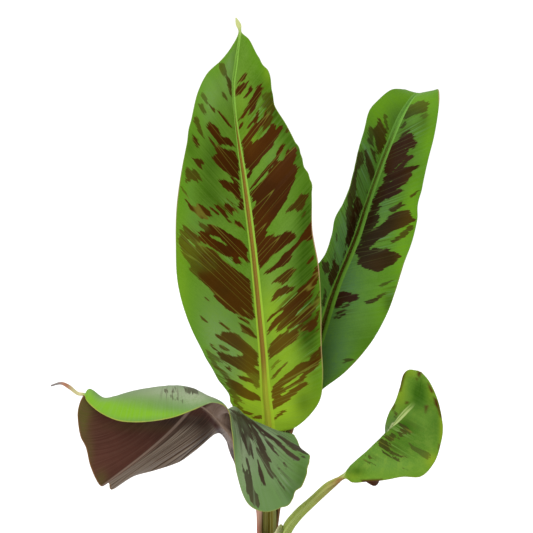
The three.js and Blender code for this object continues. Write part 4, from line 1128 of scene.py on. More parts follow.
def blotch_group():
    """Turns the depth in a blotch into a mask whose edges are frayed along the veins."""
    tree, nodes, given, out = new_group(
        "blotch_mask", {"Mark": OUTSIDE, "Lane": 0.0, "Out": 0.0, "Fray": 2.8}, ("Mask",)
    )
    lane = nodes.times(given["Lane"], 0.95)
    spot = nodes.vector(lane, nodes.times(given["Out"], 0.1))
    jitter = nodes.math("SUBTRACT", nodes.noise(spot, 1.0, 3.0, 0.6), 0.5)
    frayed = nodes.math("MULTIPLY_ADD", jitter, given["Fray"], given["Mark"])
    nodes.feed(out["Mask"], nodes.ramp(frayed, -0.16, 0.16))
    return tree


def mottle_group():
    """Uneven colour, as large soft clouds and as fine grain."""
    sockets = {"Place": None, "Cloud": 25.0, "Patch": 170.0, "Grain": 900.0}
    names = ("Clouds", "Patches", "Grains")
    tree, nodes, given, out = new_group("mottle", sockets, names)
    for name, scale in zip(names, ("Cloud", "Patch", "Grain")):
        nodes.feed(out[name], nodes.noise(given["Place"], given[scale], 3.0))
    return tree


VEINS = vein_group()
BLOTCH = blotch_group()
MOTTLE = mottle_group()


def new_material(name):
    """A material with its helper, its shader and the place of each point in metres."""
    material = bpy.data.materials.new(name)
    material.use_nodes = True
    shader = material.node_tree.nodes["Principled BSDF"]
    nodes = Nodes(material.node_tree)
    place_socket = nodes.add("ShaderNodeTexCoord").outputs["Object"]
    return material, nodes, shader, place_socket


def bump(nodes, shader, height, strength, distance):
    """Low relief that is too fine for the mesh."""
    node = nodes.add("ShaderNodeBump")
    node.inputs["Strength"].default_value = strength
    node.inputs["Distance"].default_value = distance
    nodes.feed(node.inputs["Height"], height)
    nodes.feed(shader.inputs["Normal"], node.outputs["Normal"])


def dress(nodes, shader, colour, grain, rough, gloss):
    """Gives a shader its colour, its gloss and a roughness that changes with a grain."""
    nodes.feed(shader.inputs["Base Color"], colour)
    nodes.feed(shader.inputs["Roughness"], nodes.ramp(grain, 0.3, 0.7, *rough))
    shader.inputs["Specular IOR Level"].default_value = gloss


def upper_material(name, look):
    """The spotted, shiny upper side of a leaf, with painted sheen, glow and shade in its colour."""
    material, nodes, shader, spot = new_material(name)
    reach = nodes.carried("reach")
    lane, out = nodes.carried("lane"), nodes.carried("out")
    veins = nodes.group(VEINS, lane=lane, out=out)
    mottle = nodes.group(MOTTLE, place=spot)
    blotch = nodes.group(BLOTCH, mark=nodes.carried("mark"), lane=lane, out=out)
    warm_and_glow = nodes.carried("warm_and_glow")

    clouds = nodes.ramp(mottle["Clouds"], 0.38, 0.62)
    green = nodes.layers(
        look, "green",
        (clouds, "green_2"),
        # Painted sheen: greyer, paler patches of green.
        ("painted_sheen", "painted_sheen"),
        (nodes.ramp(mottle["Grains"], 0.42, 0.6, 0.0, 0.35), "speckle"),
        (nodes.ramp(mottle["Patches"], 0.5, 0.66, 0.0, look["patchy"]), "speckle"),
        # Painted glow of light through the thin margins, growing towards them.
        (nodes.ramp(reach, 0.6, 1.0, 0.0, look["margin_glow_share"]), "outer"),
        # Partly the leaf's own yellow-green, partly a painted glow of light through the leaf.
        (warm_and_glow, "warm_and_glow"),
        # Painted shade: darker green where the surface undulates away from the light.
        ("deep", "deep"),
        (nodes.ramp(veins["Fine"], 0.35, 0.7, 0.0, look["stripes"]), "stripe"),
    )
    dark = nodes.layers(
        look, "blotch",
        (clouds, "blotch_2"),
        # The same yellow-green and painted glow, in the blotches.
        (warm_and_glow, "blotch_warm_and_glow"),
        (nodes.ramp(veins["Fine"], 0.5, 0.8, 0.0, 0.2), "blotch_vein"),
        (nodes.times(veins["Broad"], 0.6), "vein"),
    )

    streaked = nodes.carried("streaked")
    streaks = nodes.group(VEINS, lane=lane, out=out, pitch=look["streak_pitch"])["Fine"]
    silver = nodes.times(nodes.ramp(streaks, 0.4, 0.34), streaked)
    green = nodes.layers(look, green, (silver, "silver"))
    brown = nodes.times(nodes.ramp(streaks, 0.53, 0.58), streaked)
    green = nodes.mix(brown, green, dark)
    spotted = nodes.times(blotch["Mask"], nodes.carried("tone"))
    leafy = nodes.mix(spotted, green, dark)
    on_rib, rib = midrib_colour(nodes, look, veins["Fine"])
    leafy = nodes.mix(on_rib, leafy, rib)

    margin = nodes.carried("edge")
    wear = nodes.noise(nodes.vector(nodes.times(lane, 0.08), 0.0), 1.0, 2.0)
    edge = nodes.ramp(margin, 0.3, 0.9, look["edge_share"], 0.0)
    edge = nodes.times(edge, nodes.ramp(wear, 0.3, 0.55, 0.4, 1.0))
    # The margin's line fades under the painted sheen.
    pale = nodes.ramp(nodes.carried("painted_sheen"), 0.3, 0.9, 1.0, 0.2)
    edge = nodes.times(edge, pale)
    dried = nodes.ramp(margin, 0.5, 1.3, 1.0, 0.0)
    dried = nodes.times(nodes.carried("tan"), dried)
    leafy = nodes.layers(look, leafy, (edge, "edge"), (dried, "tan"))
    grain = nodes.ramp(veins["Fine"], 0.35, 0.65)
    brim = nodes.ramp(reach, 0.62, 0.85)
    stalk = nodes.layers(look, "stalk_inner", (grain, "channel"), (brim, "stalk_edge"))
    leafy = with_ends(nodes, look, leafy, stalk)
    dress(nodes, shader, leafy, mottle["Grains"], (0.34, 0.46), UPPER_GLOSS)
    ribs = nodes.times(veins["Fine"], 0.7)
    height = nodes.math("ADD", ribs, nodes.times(veins["Broad"], -0.3))
    bump(nodes, shader, height, 0.3, 0.0003)
    return material


def midrib_colour(nodes, look, fine):
    """Where the upper side's midrib shows, and its colour, with the groove down its middle."""
    rib_x, along = nodes.carried("rib_x"), nodes.carried("along")
    width, fade = look["groove_width"], look["rib_end"]
    low_end, high_end = look["groove_span"]
    groove = nodes.ramp(rib_x, width, width + 0.14, 1.0, 0.0)
    ends = nodes.ramp(along, high_end - 0.1, high_end, 1.0, 0.0)
    groove = nodes.times(groove, ends)
    foot = nodes.ramp(along, low_end - 0.1, low_end)
    channel = nodes.layers(look, "groove_foot", (foot, "groove"))
    rib = nodes.layers(look, "rib", (nodes.ramp(along, 0.1, 0.9), "rib_tip"))
    rib = nodes.mix(groove, rib, channel)
    rib = nodes.layers(look, rib, (nodes.ramp(fine, 0.3, 0.7, 0.0, 0.2), "rib_tip"))
    on_rib = nodes.ramp(rib_x, 0.92, 1.06, 1.0, 0.0)
    on_rib = nodes.times(on_rib, nodes.ramp(along, fade, fade + 0.15, 1.0, 0.0))
    return on_rib, rib


def with_ends(nodes, look, colour, stalk):
    """A side's colour with its petiole's, its scorched spots and the dried tail's in place."""
    # A petiole's dark line beside its neighbour is painted shadow.
    stalk = nodes.layers(look, stalk, ("flush", "stalk_side"), ("painted_shadow", "stalk_painted_shadow"))
    colour = nodes.mix(nodes.carried("petiole"), colour, stalk)
    colour = nodes.layers(look, colour, ("scorch", "scorch"))
    run = nodes.carried("tail")
    middle, end = nodes.ramp(run, 1.4, 2.4), nodes.ramp(run, 2.6, 3.4)
    tail = nodes.layers(look, "dry", (middle, "dry_tinge"), (end, "dry_end"))
    return nodes.mix(nodes.carried("dry"), colour, tail)


def under_material(name, look):
    """The duller maroon underside, with light and shade painted on its pleats, over the fork and
    below the strip.
    """
    material, nodes, shader, spot = new_material(name)
    lane, out = nodes.carried("lane"), nodes.carried("out")
    veins = nodes.group(VEINS, lane=lane, out=out, pitch=1.1, spread=4.5)
    mottle = nodes.group(MOTTLE, place=spot, cloud=40.0)
    clouds = nodes.ramp(mottle["Clouds"], 0.35, 0.65)
    pleated = nodes.carried("pleated")
    crease = nodes.group(VEINS, lane=lane, out=out, pitch=look["crease_pitch"])["Fine"]
    skin = nodes.layers(
        look, "under",
        (clouds, "under_2"),
        ("olive", "under_olive"),
        # The pleated zone is painted paler as light and sheen, with painted highlights on its
        # ridges and painted shade in its folds.
        (pleated, "under_pleated_sheen"),
        (nodes.times(nodes.ramp(crease, 0.5, 0.62, 0.0, 0.9), pleated), "under_ridge_highlight"),
        (nodes.times(nodes.ramp(crease, 0.36, 0.47, 0.9, 0.0), pleated), "under_fold_shade"),
        # Painted shadow below the strip that overhangs the underside.
        ("painted_shadow", "under_painted_shadow"),
        # Painted light where the underside faces the lamp, and a painted highlight on the pleats'
        # crest.
        ("painted_light", "under_painted_light"),
        ("shade", "under_shade"),
        (nodes.ramp(veins["Fine"], 0.35, 0.75, 0.0, 0.3), "under_vein"),
        (nodes.times(veins["Broad"], 0.35), "under_vein"),
        (nodes.ramp(nodes.carried("rib_x"), 0.5, 1.1, 0.8, 0.0), "under_rib"),
        (nodes.ramp(nodes.carried("edge"), 0.4, 1.2, look["edge_share"], 0.0), "under_edge"),
    )
    grain = nodes.ramp(veins["Fine"], 0.35, 0.65)
    stalk = nodes.layers(look, "stalk", (grain, "stalk_flush"))
    skin = with_ends(nodes, look, skin, stalk)
    dress(nodes, shader, skin, mottle["Grains"], (0.48, 0.6), UNDER_GLOSS)
    bump(nodes, shader, veins["Fine"], 0.5, 0.0004)
    return material


# Colours, 0 to 255 a channel, and how the leaves' are shared out. COMMON_LOOK holds what a leaf
# shows where its own look says nothing else.
COMMON_LOOK = {
    # The cool green is painted sheen.
    "green": (86, 130, 22), "green_2": (98, 140, 38), "painted_sheen": (120, 156, 84),
    # The deep green is painted shade.
    # The outer green is a painted glow along the margins.
    # The warm yellow-green is partly the leaf's own colour and partly a painted glow of light
    # through it.
    "warm_and_glow": (158, 196, 42), "deep": (54, 88, 6), "outer": (94, 148, 14), "stripe": (118, 156, 60),
    "speckle": (110, 152, 50), "silver": (126, 158, 98), "blotch": (74, 38, 0),
    # The warm blotch colour follows that yellow-green and its painted glow.
    "blotch_2": (64, 32, 0), "blotch_warm_and_glow": (100, 62, 4), "blotch_vein": (106, 70, 18),
    "vein": (126, 128, 44), "streak_pitch": 1.5, "crease_pitch": 1.0, "rib": (170, 200, 44),
    "rib_tip": (142, 190, 76), "groove": (150, 110, 44), "groove_foot": (176, 180, 52),
    "channel": (190, 184, 104), "stalk_inner": (142, 132, 44), "stalk_edge": (160, 164, 96),
    # The petiole's dim colour is painted shadow.
    "stalk_side": (150, 96, 62), "stalk_painted_shadow": (92, 74, 28), "edge": (142, 166, 62),
    "tan": (186, 150, 112), "scorch": (76, 40, 12), "dry": (150, 132, 80),
    "dry_tinge": (150, 132, 80), "dry_end": (150, 132, 80), "under": (78, 44, 32),
    # On the underside: ridges get a painted highlight and folds painted shade, the pleated zone
    # painted light and sheen, the part facing the lamp painted light, and the dim colour is a
    # painted shadow.
    "under_2": (88, 50, 38), "under_olive": (92, 84, 36), "under_ridge_highlight": (174, 160, 140),
    "under_fold_shade": (58, 42, 32), "under_painted_shadow": (58, 42, 32), "under_pleated_sheen": (140, 124, 108),
    "under_painted_light": (150, 128, 112), "under_shade": (70, 36, 32), "under_vein": (112, 78, 62),
    "under_rib": (170, 146, 124), "under_edge": (150, 106, 56), "stalk": (140, 160, 70),
    "stalk_flush": (160, 176, 96), "margin_glow_share": 0.6, "patchy": 0.3, "stripes": 0.18,
    "edge_share": 0.6, "groove_width": 0.46, "groove_span": (0.34, 0.84), "rib_end": 0.99,
}

MAIN_LOOK = {
    "dry": (206, 214, 140), "dry_tinge": (216, 222, 160), "dry_end": (216, 222, 160),
}

# As in the common look, its cool, warm, deep and outer greens are painted light and shade.
REAR_LOOK = {
    "speckle": (98, 144, 48), "green": (82, 130, 28), "green_2": (90, 134, 44),
    "painted_sheen": (86, 130, 72), "warm_and_glow": (108, 160, 26), "deep": (54, 84, 14), "outer": (94, 146, 16),
    "stripe": (104, 148, 66), "silver": (112, 146, 106), "blotch": (52, 28, 8),
    "blotch_2": (40, 20, 6), "blotch_warm_and_glow": (78, 54, 14), "blotch_vein": (78, 60, 34),
    "vein": (84, 88, 48), "rib": (112, 164, 44), "rib_tip": (124, 176, 76),
    "groove": (100, 112, 36), "groove_foot": (76, 50, 8), "stalk_inner": (60, 44, 8),
    "stalk_edge": (160, 120, 80), "edge": (120, 156, 50), "stalk": (140, 100, 60),
    "stalk_flush": (170, 128, 90), "groove_width": 0.32, "groove_span": (0.56, 0.72),
    "rib_end": 0.8,
}

# As in the common look, its cool, warm, deep and outer greens are painted light and shade; the cool
# one is a painted highlight on the strip.
DROOPING_LOOK = {
    "speckle": (136, 158, 112), "green": (114, 138, 92), "green_2": (126, 150, 108),
    "painted_sheen": (186, 192, 164), "warm_and_glow": (126, 180, 40), "deep": (56, 78, 34), "outer": (92, 140, 52),
    "stripe": (140, 168, 126), "silver": (140, 160, 124), "blotch": (74, 60, 46),
    "blotch_2": (62, 48, 38), "blotch_warm_and_glow": (92, 74, 72), "blotch_vein": (106, 104, 84),
    "vein": (118, 134, 100), "streak_pitch": 1.1, "edge": (190, 180, 78), "stalk": (196, 150, 128),
    "stalk_flush": (210, 172, 146), "stalk_side": (214, 84, 82), "stalk_inner": (200, 160, 132),
    "channel": (210, 178, 146), "stalk_edge": (204, 166, 140), "dry": (226, 216, 160),
    "dry_tinge": (196, 140, 112), "dry_end": (150, 140, 136), "stripes": 0.12,
}

# As in the common look, its cool, warm, deep and outer greens are painted light and shade.
SMALL_LOOK = {
    "patchy": 0.6, "speckle": (124, 158, 56), "warm_and_glow": (148, 170, 30), "under": (66, 56, 16),
    "under_2": (84, 80, 28), "under_rib": (176, 190, 130), "under_olive": (108, 142, 56),
    "green": (90, 134, 36), "green_2": (104, 146, 50), "painted_sheen": (98, 142, 68),
    "outer": (106, 148, 36), "deep": (50, 92, 2), "silver": (130, 162, 84), "blotch": (66, 68, 20),
    "blotch_2": (54, 54, 18), "edge": (150, 150, 50), "rib": (184, 196, 134),
    "rib_tip": (166, 188, 104), "groove": (126, 154, 74), "groove_foot": (126, 154, 74),
    "channel": (184, 206, 96), "stalk_inner": (198, 216, 112), "stalk_edge": (196, 216, 122),
    "stalk_side": (158, 122, 70), "stalk": (176, 198, 92), "stalk_flush": (190, 210, 110),
    "groove_width": 0.2, "groove_span": (0.3, 0.7), "rib_end": 0.53, "edge_share": 0.45,
    "stripes": 0.1,
}

STEM_LOOK = {
    "green": (132, 146, 66), "green_2": (112, 126, 52), "wine": (104, 52, 40),
    "stripe": (156, 160, 96), "foot": (120, 84, 58), "dry": (150, 112, 74), "lip": (250, 250, 190),
}
CLAY_LOOK = {
    "clay": (186, 108, 72), "clay_2": (170, 90, 58), "turned": (204, 132, 96),
    "grain": (214, 152, 118), "salts": (222, 198, 178),
}
SOIL_LOOK = {
    "compost": (66, 48, 34), "compost_2": (44, 32, 24), "grain": (104, 76, 52),
    "bark": (118, 78, 48), "bark_2": (70, 46, 30), "perlite": (226, 222, 212),
    "perlite_2": (190, 182, 168),
}

# Soft tints, as places in the photograph: across, down, half width, half height, strength.
# Several of them are painted light and shade, as noted at each.
MAIN_TINTS = {
    # Painted sheen: greyer, paler green.
    "painted_sheen": [
        (229, 70, 7, 30, 0.9), (214, 340, 26, 42, 1.0), (292, 245, 12, 22, 0.3),
        (240, 366, 14, 30, 0.7), (272, 284, 8, 16, 0.4), (209, 92, 11, 22, 0.6),
        (197, 225, 16, 20, 0.4), (275, 165, 10, 30, 0.4), (206, 100, 10, 30, 0.5),
        (190, 190, 6, 30, 0.4), (222, 378, 9, 10, 0.9), (230, 362, 12, 14, 0.4),
        (194, 240, 10, 12, 0.3),
    ],
    # Partly the leaf's own yellow-green, partly a painted glow of light through it.
    "warm_and_glow": [
        (285, 408, 40, 34, 0.9), (285, 350, 20, 36, 0.5), (252, 412, 18, 34, 0.8),
        (181, 285, 8, 60, 0.2), (268, 76, 5, 14, 0.4), (270, 310, 14, 30, 0.5),
        (314, 168, 5, 14, 0.4), (240, 108, 10, 26, 0.25), (250, 362, 9, 26, 0.5),
        (250, 142, 8, 14, 0.3), (196, 248, 18, 12, 0.25),
    ],
    # Painted shade.
    "deep": [
        (208, 178, 16, 34, 0.6), (273, 108, 9, 20, 0.9), (304, 265, 14, 40, 0.8),
        (309, 336, 12, 24, 0.9), (214, 152, 12, 22, 0.5), (298, 148, 12, 26, 0.7),
        (204, 250, 20, 26, 0.4), (222, 210, 16, 12, 0.3), (310, 205, 9, 44, 0.7),
        (284, 128, 8, 20, 0.5), (236, 120, 30, 20, 0.25), (290, 170, 12, 40, 0.35),
        (302, 215, 8, 24, 0.4), (308, 300, 12, 36, 0.6), (288, 100, 8, 10, 0.6),
        (303, 402, 10, 14, 0.6), (262, 84, 12, 14, 0.4), (216, 196, 20, 12, 0.3),
        (316, 386, 8, 24, 0.3), (190, 146, 8, 16, 0.5),
    ],
    "streaked": [
        (188, 240, 12, 14, 0.7), (205, 258, 10, 8, 0.8), (237, 258, 10, 6, 0.8),
        (301, 316, 16, 20, 0.7), (262, 120, 12, 16, 0.6), (226, 208, 14, 7, 0.6),
        (314, 360, 7, 10, 0.8), (221, 368, 10, 14, 0.6), (250, 330, 10, 6, 0.5),
        (285, 300, 10, 16, 0.5), (222, 390, 8, 10, 0.6),
    ],
    "tan": [
        (314, 236, 5, 26, 1.0), (319, 265, 6, 14, 1.0), (323, 330, 5, 50, 0.7),
        (178, 190, 5, 40, 0.5), (240, 400, 14, 24, 0.3),
    ],
}

REAR_TINTS = {
    # Painted sheen: greyer, paler green.
    "painted_sheen": [
        (340, 240, 14, 60, 0.9), (334, 356, 20, 44, 0.9), (350, 285, 14, 26, 0.7),
        (383, 205, 10, 16, 0.6), (392, 172, 10, 14, 0.4), (364, 155, 10, 36, 0.8),
    ],
    # Partly the leaf's own yellow-green, partly a painted glow of light through it.
    "warm_and_glow": [
        (406, 98, 34, 12, 0.9), (376, 114, 12, 18, 0.8), (428, 130, 8, 26, 0.9),
        (384, 140, 8, 26, 0.5), (412, 205, 8, 36, 0.8), (402, 250, 8, 30, 0.8),
        (385, 305, 10, 20, 0.5),
    ],
    # Painted shade.
    "deep": [
        (372, 344, 20, 20, 0.4), (402, 126, 12, 14, 0.4), (404, 170, 8, 20, 0.4),
        (390, 303, 8, 12, 0.8), (424, 122, 7, 14, 0.6), (358, 190, 8, 26, 0.3),
        (410, 155, 10, 20, 0.3), (352, 170, 6, 40, 0.3),
    ],
    "streaked": [
        (350, 215, 12, 40, 0.5), (335, 262, 10, 20, 0.4), (366, 160, 12, 26, 0.5),
        (392, 205, 14, 14, 0.4), (378, 240, 14, 10, 0.6), (342, 305, 10, 12, 0.6),
        (410, 130, 14, 14, 0.4), (395, 290, 10, 10, 0.3),
    ],
    "tan": [(438, 96, 4, 8, 0.8), (400, 275, 6, 60, 0.3), (352, 364, 14, 14, 0.4)],
}

DROOPING_TINTS = {
    # Painted sheen, with a painted highlight along the pale strip.
    "painted_sheen": [
        (168, 393, 30, 8, 0.55), (198, 401, 20, 9, 0.9), (242, 480, 9, 36, 0.75),
        (262, 505, 20, 10, 0.15), (246, 445, 7, 16, 0.2), (264, 468, 24, 36, 0.12),
        (213, 407, 7, 6, 0.9), (233, 420, 5, 16, 0.7), (84, 400, 6, 8, 0.4),
    ],
    # Partly the leaf's own yellow-green, partly a painted glow of light through it.
    "warm_and_glow": [
        (88, 398, 9, 14, 0.9), (104, 404, 14, 5, 0.4), (120, 410, 36, 11, 0.9),
        (160, 415, 40, 5, 0.8), (302, 475, 8, 22, 0.3),
    ],
    # Painted shade.
    "deep": [
        (238, 416, 8, 10, 0.6), (256, 424, 14, 8, 0.4), (302, 476, 8, 22, 0.6),
        (292, 492, 9, 12, 0.4),
    ],
    # Painted shadow: below the strip, and on the petiole beside its neighbour.
    "painted_shadow": [
        (178, 421, 32, 8, 0.95), (206, 426, 10, 14, 0.6), (202, 440, 12, 10, 0.5),
        (263.6, 516, 2, 10, 1.0), (263.2, 531, 3, 10, 1.0),
    ],
    "flush": [(255.6, 514, 3, 8, 1.0), (257.6, 530, 3, 8, 1.0)],
    "olive": [
        (85, 408, 9, 12, 1.0), (83, 426, 5, 20, 0.8), (90, 452, 4, 18, 0.5), (101, 480, 6, 10, 0.7),
        (150, 426, 40, 5, 0.4),
    ],
    "streaked": [
        (250, 430, 14, 20, 1.0), (272, 440, 16, 12, 0.8), (284, 476, 8, 18, 0.5),
        (172, 394, 12, 6, 0.5),
    ],
}

SMALL_TINTS = {
    # Painted sheen: greyer, paler green.
    "painted_sheen": [(392, 466, 26, 8, 0.6), (368, 450, 10, 8, 0.3), (390, 410, 5, 12, 0.4)],
    # Partly the leaf's own yellow-green, partly a painted glow of light through it.
    "warm_and_glow": [
        (401, 394, 6, 16, 0.5), (442, 426, 3, 22, 0.9), (432, 460, 7, 8, 0.6),
        (352, 476, 10, 5, 0.4), (412, 373, 8, 5, 0.4), (431, 392, 4, 12, 0.4),
    ],
    # Painted shade.
    "deep": [
        (419, 390, 8, 12, 1.0), (404, 428, 22, 10, 0.8), (357, 471, 8, 5, 0.7),
        (412, 446, 20, 10, 0.5), (420, 404, 14, 12, 0.6), (392, 448, 10, 10, 0.4),
        (436, 424, 8, 20, 0.5), (404, 418, 10, 12, 0.3),
    ],
    "olive": [(389, 429, 8, 10, 1.0), (380, 440, 8, 8, 0.6)],
    "streaked": [
        (402, 430, 14, 7, 0.6), (388, 448, 12, 6, 0.5), (398, 456, 10, 4, 0.4),
        (370, 459, 8, 4, 0.4),
    ],
    "flush": [
        (338, 486, 9, 6, 1.0), (331, 494, 8, 6, 1.0), (322, 502, 7, 6, 1.0), (313, 511, 6, 5, 0.9),
        (305, 520, 5, 5, 0.7), (342, 480, 6, 5, 0.8),
    ],
}

# Where margins are nicked, or bulge by a depth below 0: across, down and radius in the
# photograph's own frame, and depth in millimetres.
MAIN_NOTCHES = [
    (226, 390, 14, 4.0), (306, 165, 9, 1.6), (263, 64, 8, 1.2), (312, 186, 8, -1.2),
    (298, 148, 7, -1.0), (273, 97, 9, -1.0), (187, 130, 12, -0.8), (206, 360, 12, -1.0),
]
REAR_NOTCHES = [(418, 204, 16, 1.6), (351, 172, 16, -1.0), (330, 232, 10, 1.2)]
DROOPING_NOTCHES = [
    (207, 442, 13, -1.8), (166, 466, 20, 1.0), (112, 488, 5, -1.2), (98, 395, 7, 0.8),
    (297, 493, 8, 2.4), (287, 504, 8, -1.8), (304, 449, 8, 1.8), (309, 456, 4, -0.8),
    (308, 468, 6, 0.8), (297, 441, 5, -0.6),
]

# The part of the drooping leaf's underside that faces the light over the fork, painted paler as
# light, and the shadows painted on it.
DROOPING_PAINTED_LIGHT = [
    (203.9, 409), (209.4, 414), (220.5, 427), (224, 435), (230, 445), (234, 462), (238, 472),
    (241, 464), (239.5, 454), (237, 440), (233.5, 427), (230.7, 415), (227, 408), (224, 404.5),
    (216, 401), (204, 408),
]
DROOPING_SHADES = [
    [(230, 447), (235, 449), (237.5, 462), (238, 474), (234.5, 464), (231.5, 455)],
    [(204, 410.5), (209, 415), (219.5, 427.5), (223.5, 436), (229, 446), (226, 446), (220, 437),
     (214, 426), (206, 416)],
]


def leaf(name, description, rows, columns, blotches, look, tints, clearings=(), scorches=(),
         painted_light_outlines=(), shades=(), rib_widths=None, pleats=0, spread=BLOTCH_SPREAD, grain=None,
         notches=()):
    """Builds one leaf, lays its blotches on and puts it in place of its CAD node.

    pleats is the height of the right half's pleats, spread how far blotches reach past their
    outlines, and grain the markings' way, across and down, where it isn't the side veins'.
    """
    sheet = Sheet(description, rows, columns, rib_widths)
    draw_margin(sheet, notches)
    seed = sum(map(ord, name))
    reach = np.abs(sheet.t)
    lanes = sheet.lane + np.where(sheet.t < 0, 0, RIGHT_LANES)
    heights = RIB_HEIGHT * waves(seed, lanes, RIB_PITCH) * np.minimum(1, reach * RIB_RISE)
    heights = heights + RIPPLE_HEIGHT * waves(seed + 7, lanes, RIPPLE_PITCH, 1) * reach**2
    pleat, pleated, crest = pleating(sheet, reach, (sheet.t > 0) & (pleats > 0))
    pleat = waves(seed + 11, lanes, PLEAT_PITCH, 1) * pleat
    sheet.lift(heights + pleats * pleat)
    vein_way, out = sheet.vein_way, sheet.out
    stalk = (sheet.blade_start + STALK_FADE - sheet.places) / (2 * STALK_FADE)
    stalk = np.clip(stalk, 0, 1)[:, None] + 0 * reach
    lanes = np.where(stalk > 0.5, out * np.sign(sheet.t), lanes)
    out = np.where(stalk > 0.5, sheet.places[:, None] * STALK_STREAK, out)
    if grain:
        vein_way = np.array([grain[0], 0, -grain[1]]) + 0 * sheet.centre
        lanes = sheet.centre @ np.array([grain[1], 0, grain[0]])
        out = sheet.centre @ np.array([grain[0], 0, -grain[1]])
    right, down = in_photo(sheet.centre)
    way = np.stack(in_photo(sheet.centre + vein_way), axis=-1)
    way = unit(way - np.stack([right, down], axis=-1))
    shifted = sheet.centre + vein_way * ragged(sheet, seed)[..., None]
    mark, tone = marks_on(*in_photo(shifted), way, blotches, clearings)
    mark = mark + spread
    tone = tone**TONE_POWER
    hidden = normals_of(sheet.centre)[..., 1] > UNSEEN_FACING
    mark = np.where(hidden, ruled_marks(sheet, seed), mark)
    tone = np.where(hidden, UNSEEN_TONE, tone)
    half_width = np.where(sheet.t < 0, sheet.out[:, :1], sheet.out[:, -1:])
    beyond = sheet.places - sheet.blade_end
    values = {
        "mark": mark,
        "tone": tone,
        "lane": lanes,
        "out": out,
        "reach": reach,
        "rib_x": sheet.out / np.maximum(sheet.section[:, :1], LEAST_RIB),
        "along": sheet.blade_share,
        "edge": half_width - sheet.out,
        "scorch": covered(right, down, way, scorches),
        # Painted light where the underside faces the lamp, and a painted highlight on the pleats'
        # crest.
        "painted_light": np.maximum(covered(right, down, way, painted_light_outlines), crest),
        "shade": covered(right, down, way, shades),
        "petiole": stalk,
        "pleated": pleated,
        "dry": np.clip(beyond + STALK_FADE, 0, 1)[:, None] + 0 * reach,
        "tail": np.clip(beyond, 0, LONGEST_TAIL)[:, None] + 0 * reach,
    }
    # Soft tints, several of them painted light and shade: sheen, glow through the leaf, shade and
    # shadow.
    for key in ("painted_sheen", "warm_and_glow", "deep", "olive", "flush", "streaked", "tan", "painted_shadow"):
        values[key] = tinted(right, down, tints.get(key, ()))
    look = paints({**COMMON_LOOK, **look})
    materials = [upper_material(name + "_upper", look), under_material(name + "_under", look)]
    piece = leaf_mesh(name + "_blade", sheet, values, materials)
    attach(piece, "root")
    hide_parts(name)


def grid_mesh(name, rings):
    """A mesh from rings of points, each joined to the next, with its ends closed by fans."""
    rings = np.array(rings, float)
    count, around = rings.shape[:2]
    number = np.arange(count * around).reshape(count, around)
    nxt = np.roll(number, -1, axis=1)
    faces = np.stack([number[:-1], nxt[:-1], nxt[1:], number[1:]], axis=-1).reshape(-1, 4).tolist()
    points = rings.reshape(-1, 3).tolist()
    for ring, flip in ((0, True), (-1, False)):
        centre = len(points)
        points.append(rings[ring].mean(axis=0).tolist())
        pairs = zip(number[ring].tolist(), nxt[ring].tolist())
        faces += [[b, a, centre] if flip else [a, b, centre] for a, b in pairs]
    mesh = bpy.data.meshes.new(name)
    mesh.from_pydata([Vector(point) * MM for point in points], [], faces)
    mesh.polygons.foreach_set("use_smooth", np.ones(len(mesh.polygons), bool))
    return mesh


def ring(radius, level, sides):
    """Points round the pot's axis, at a radius and a level that may change with the angle."""
    angle = np.arange(sides) * 2 * math.pi / sides
    points = radius * np.cos(angle), radius * np.sin(angle), level + 0 * angle
    return np.stack(points, axis=-1)


def carry(mesh, key, values):
    """Lets the mesh carry one value a point, for its material."""
    layer = mesh.attributes.new(key, "FLOAT", "POINT")
    layer.data.foreach_set("value", np.asarray(values, np.float32))


def stem():
    """The false stem: rolled sheaths that overlap, thin at the open top, and one old sheath."""
    columns = np.concatenate([
        k + np.concatenate([np.linspace(0, 0.9, SHEATH_COLUMNS), [0.94, 0.97, 0.99, 0.9985]])
        for k in range(SHEATHS)
    ])
    lanes = columns * SHEATH_LANES
    rings = []
    for level in np.linspace(STEM_FOOT, STEM_TOP, STEM_ROWS):
        up = (level - SOIL_LEVEL) / (STEM_TOP - SOIL_LEVEL)
        angle = (columns - SHEATH_TWIST * up) * 2 * math.pi / SHEATHS
        share = (level - STEM_FOOT) / (STEM_TOP - STEM_FOOT)
        swell = STEM_SWELL * math.exp(-(((level - SWELL_LEVEL) / SWELL_HEIGHT) ** 2))
        step = SHEATH_STEP * (columns % 1) ** 2
        fine = FINE_RIB * waves(5, lanes, FINE_RIB_PITCH)
        broad = BROAD_RIB * waves(9, lanes + level / RIB_LEAN, BROAD_RIB_PITCH)
        radius = STEM_RADIUS + swell + step + (fine + broad)
        tongue = np.maximum(0, np.cos(angle + OLD_SHEATH_SIDE)) ** 5
        height = level + share**6 * OLD_SHEATH_RISE * tongue
        rings.append(np.stack([radius * np.cos(angle), radius * np.sin(angle), height], axis=-1))
    top = rings[-1]
    for inset, drop in STEM_LIP:
        lip = top.copy()
        radius = np.linalg.norm(lip[:, :2], axis=1, keepdims=True)
        lip[:, :2] *= (radius - inset) / radius
        lip[:, 2] -= drop
        rings.append(lip)
    inner = rings[-1].copy()
    inner[:, :2] *= 0.5
    inner[:, 2] = STEM_TOP - OPEN_TOP_DIP - 3
    rings.append(inner)
    mesh = grid_mesh("pseudostem_sheaths", rings)
    for key, value in (("turn", columns % 1), ("lane", columns)):
        carry(mesh, key, np.concatenate([np.tile(value, len(rings)), [0, 0]]))
    mesh.materials.append(stem_material())
    piece = place("pseudostem_sheaths", mesh)
    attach(piece, "root")
    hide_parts("pseudostem")


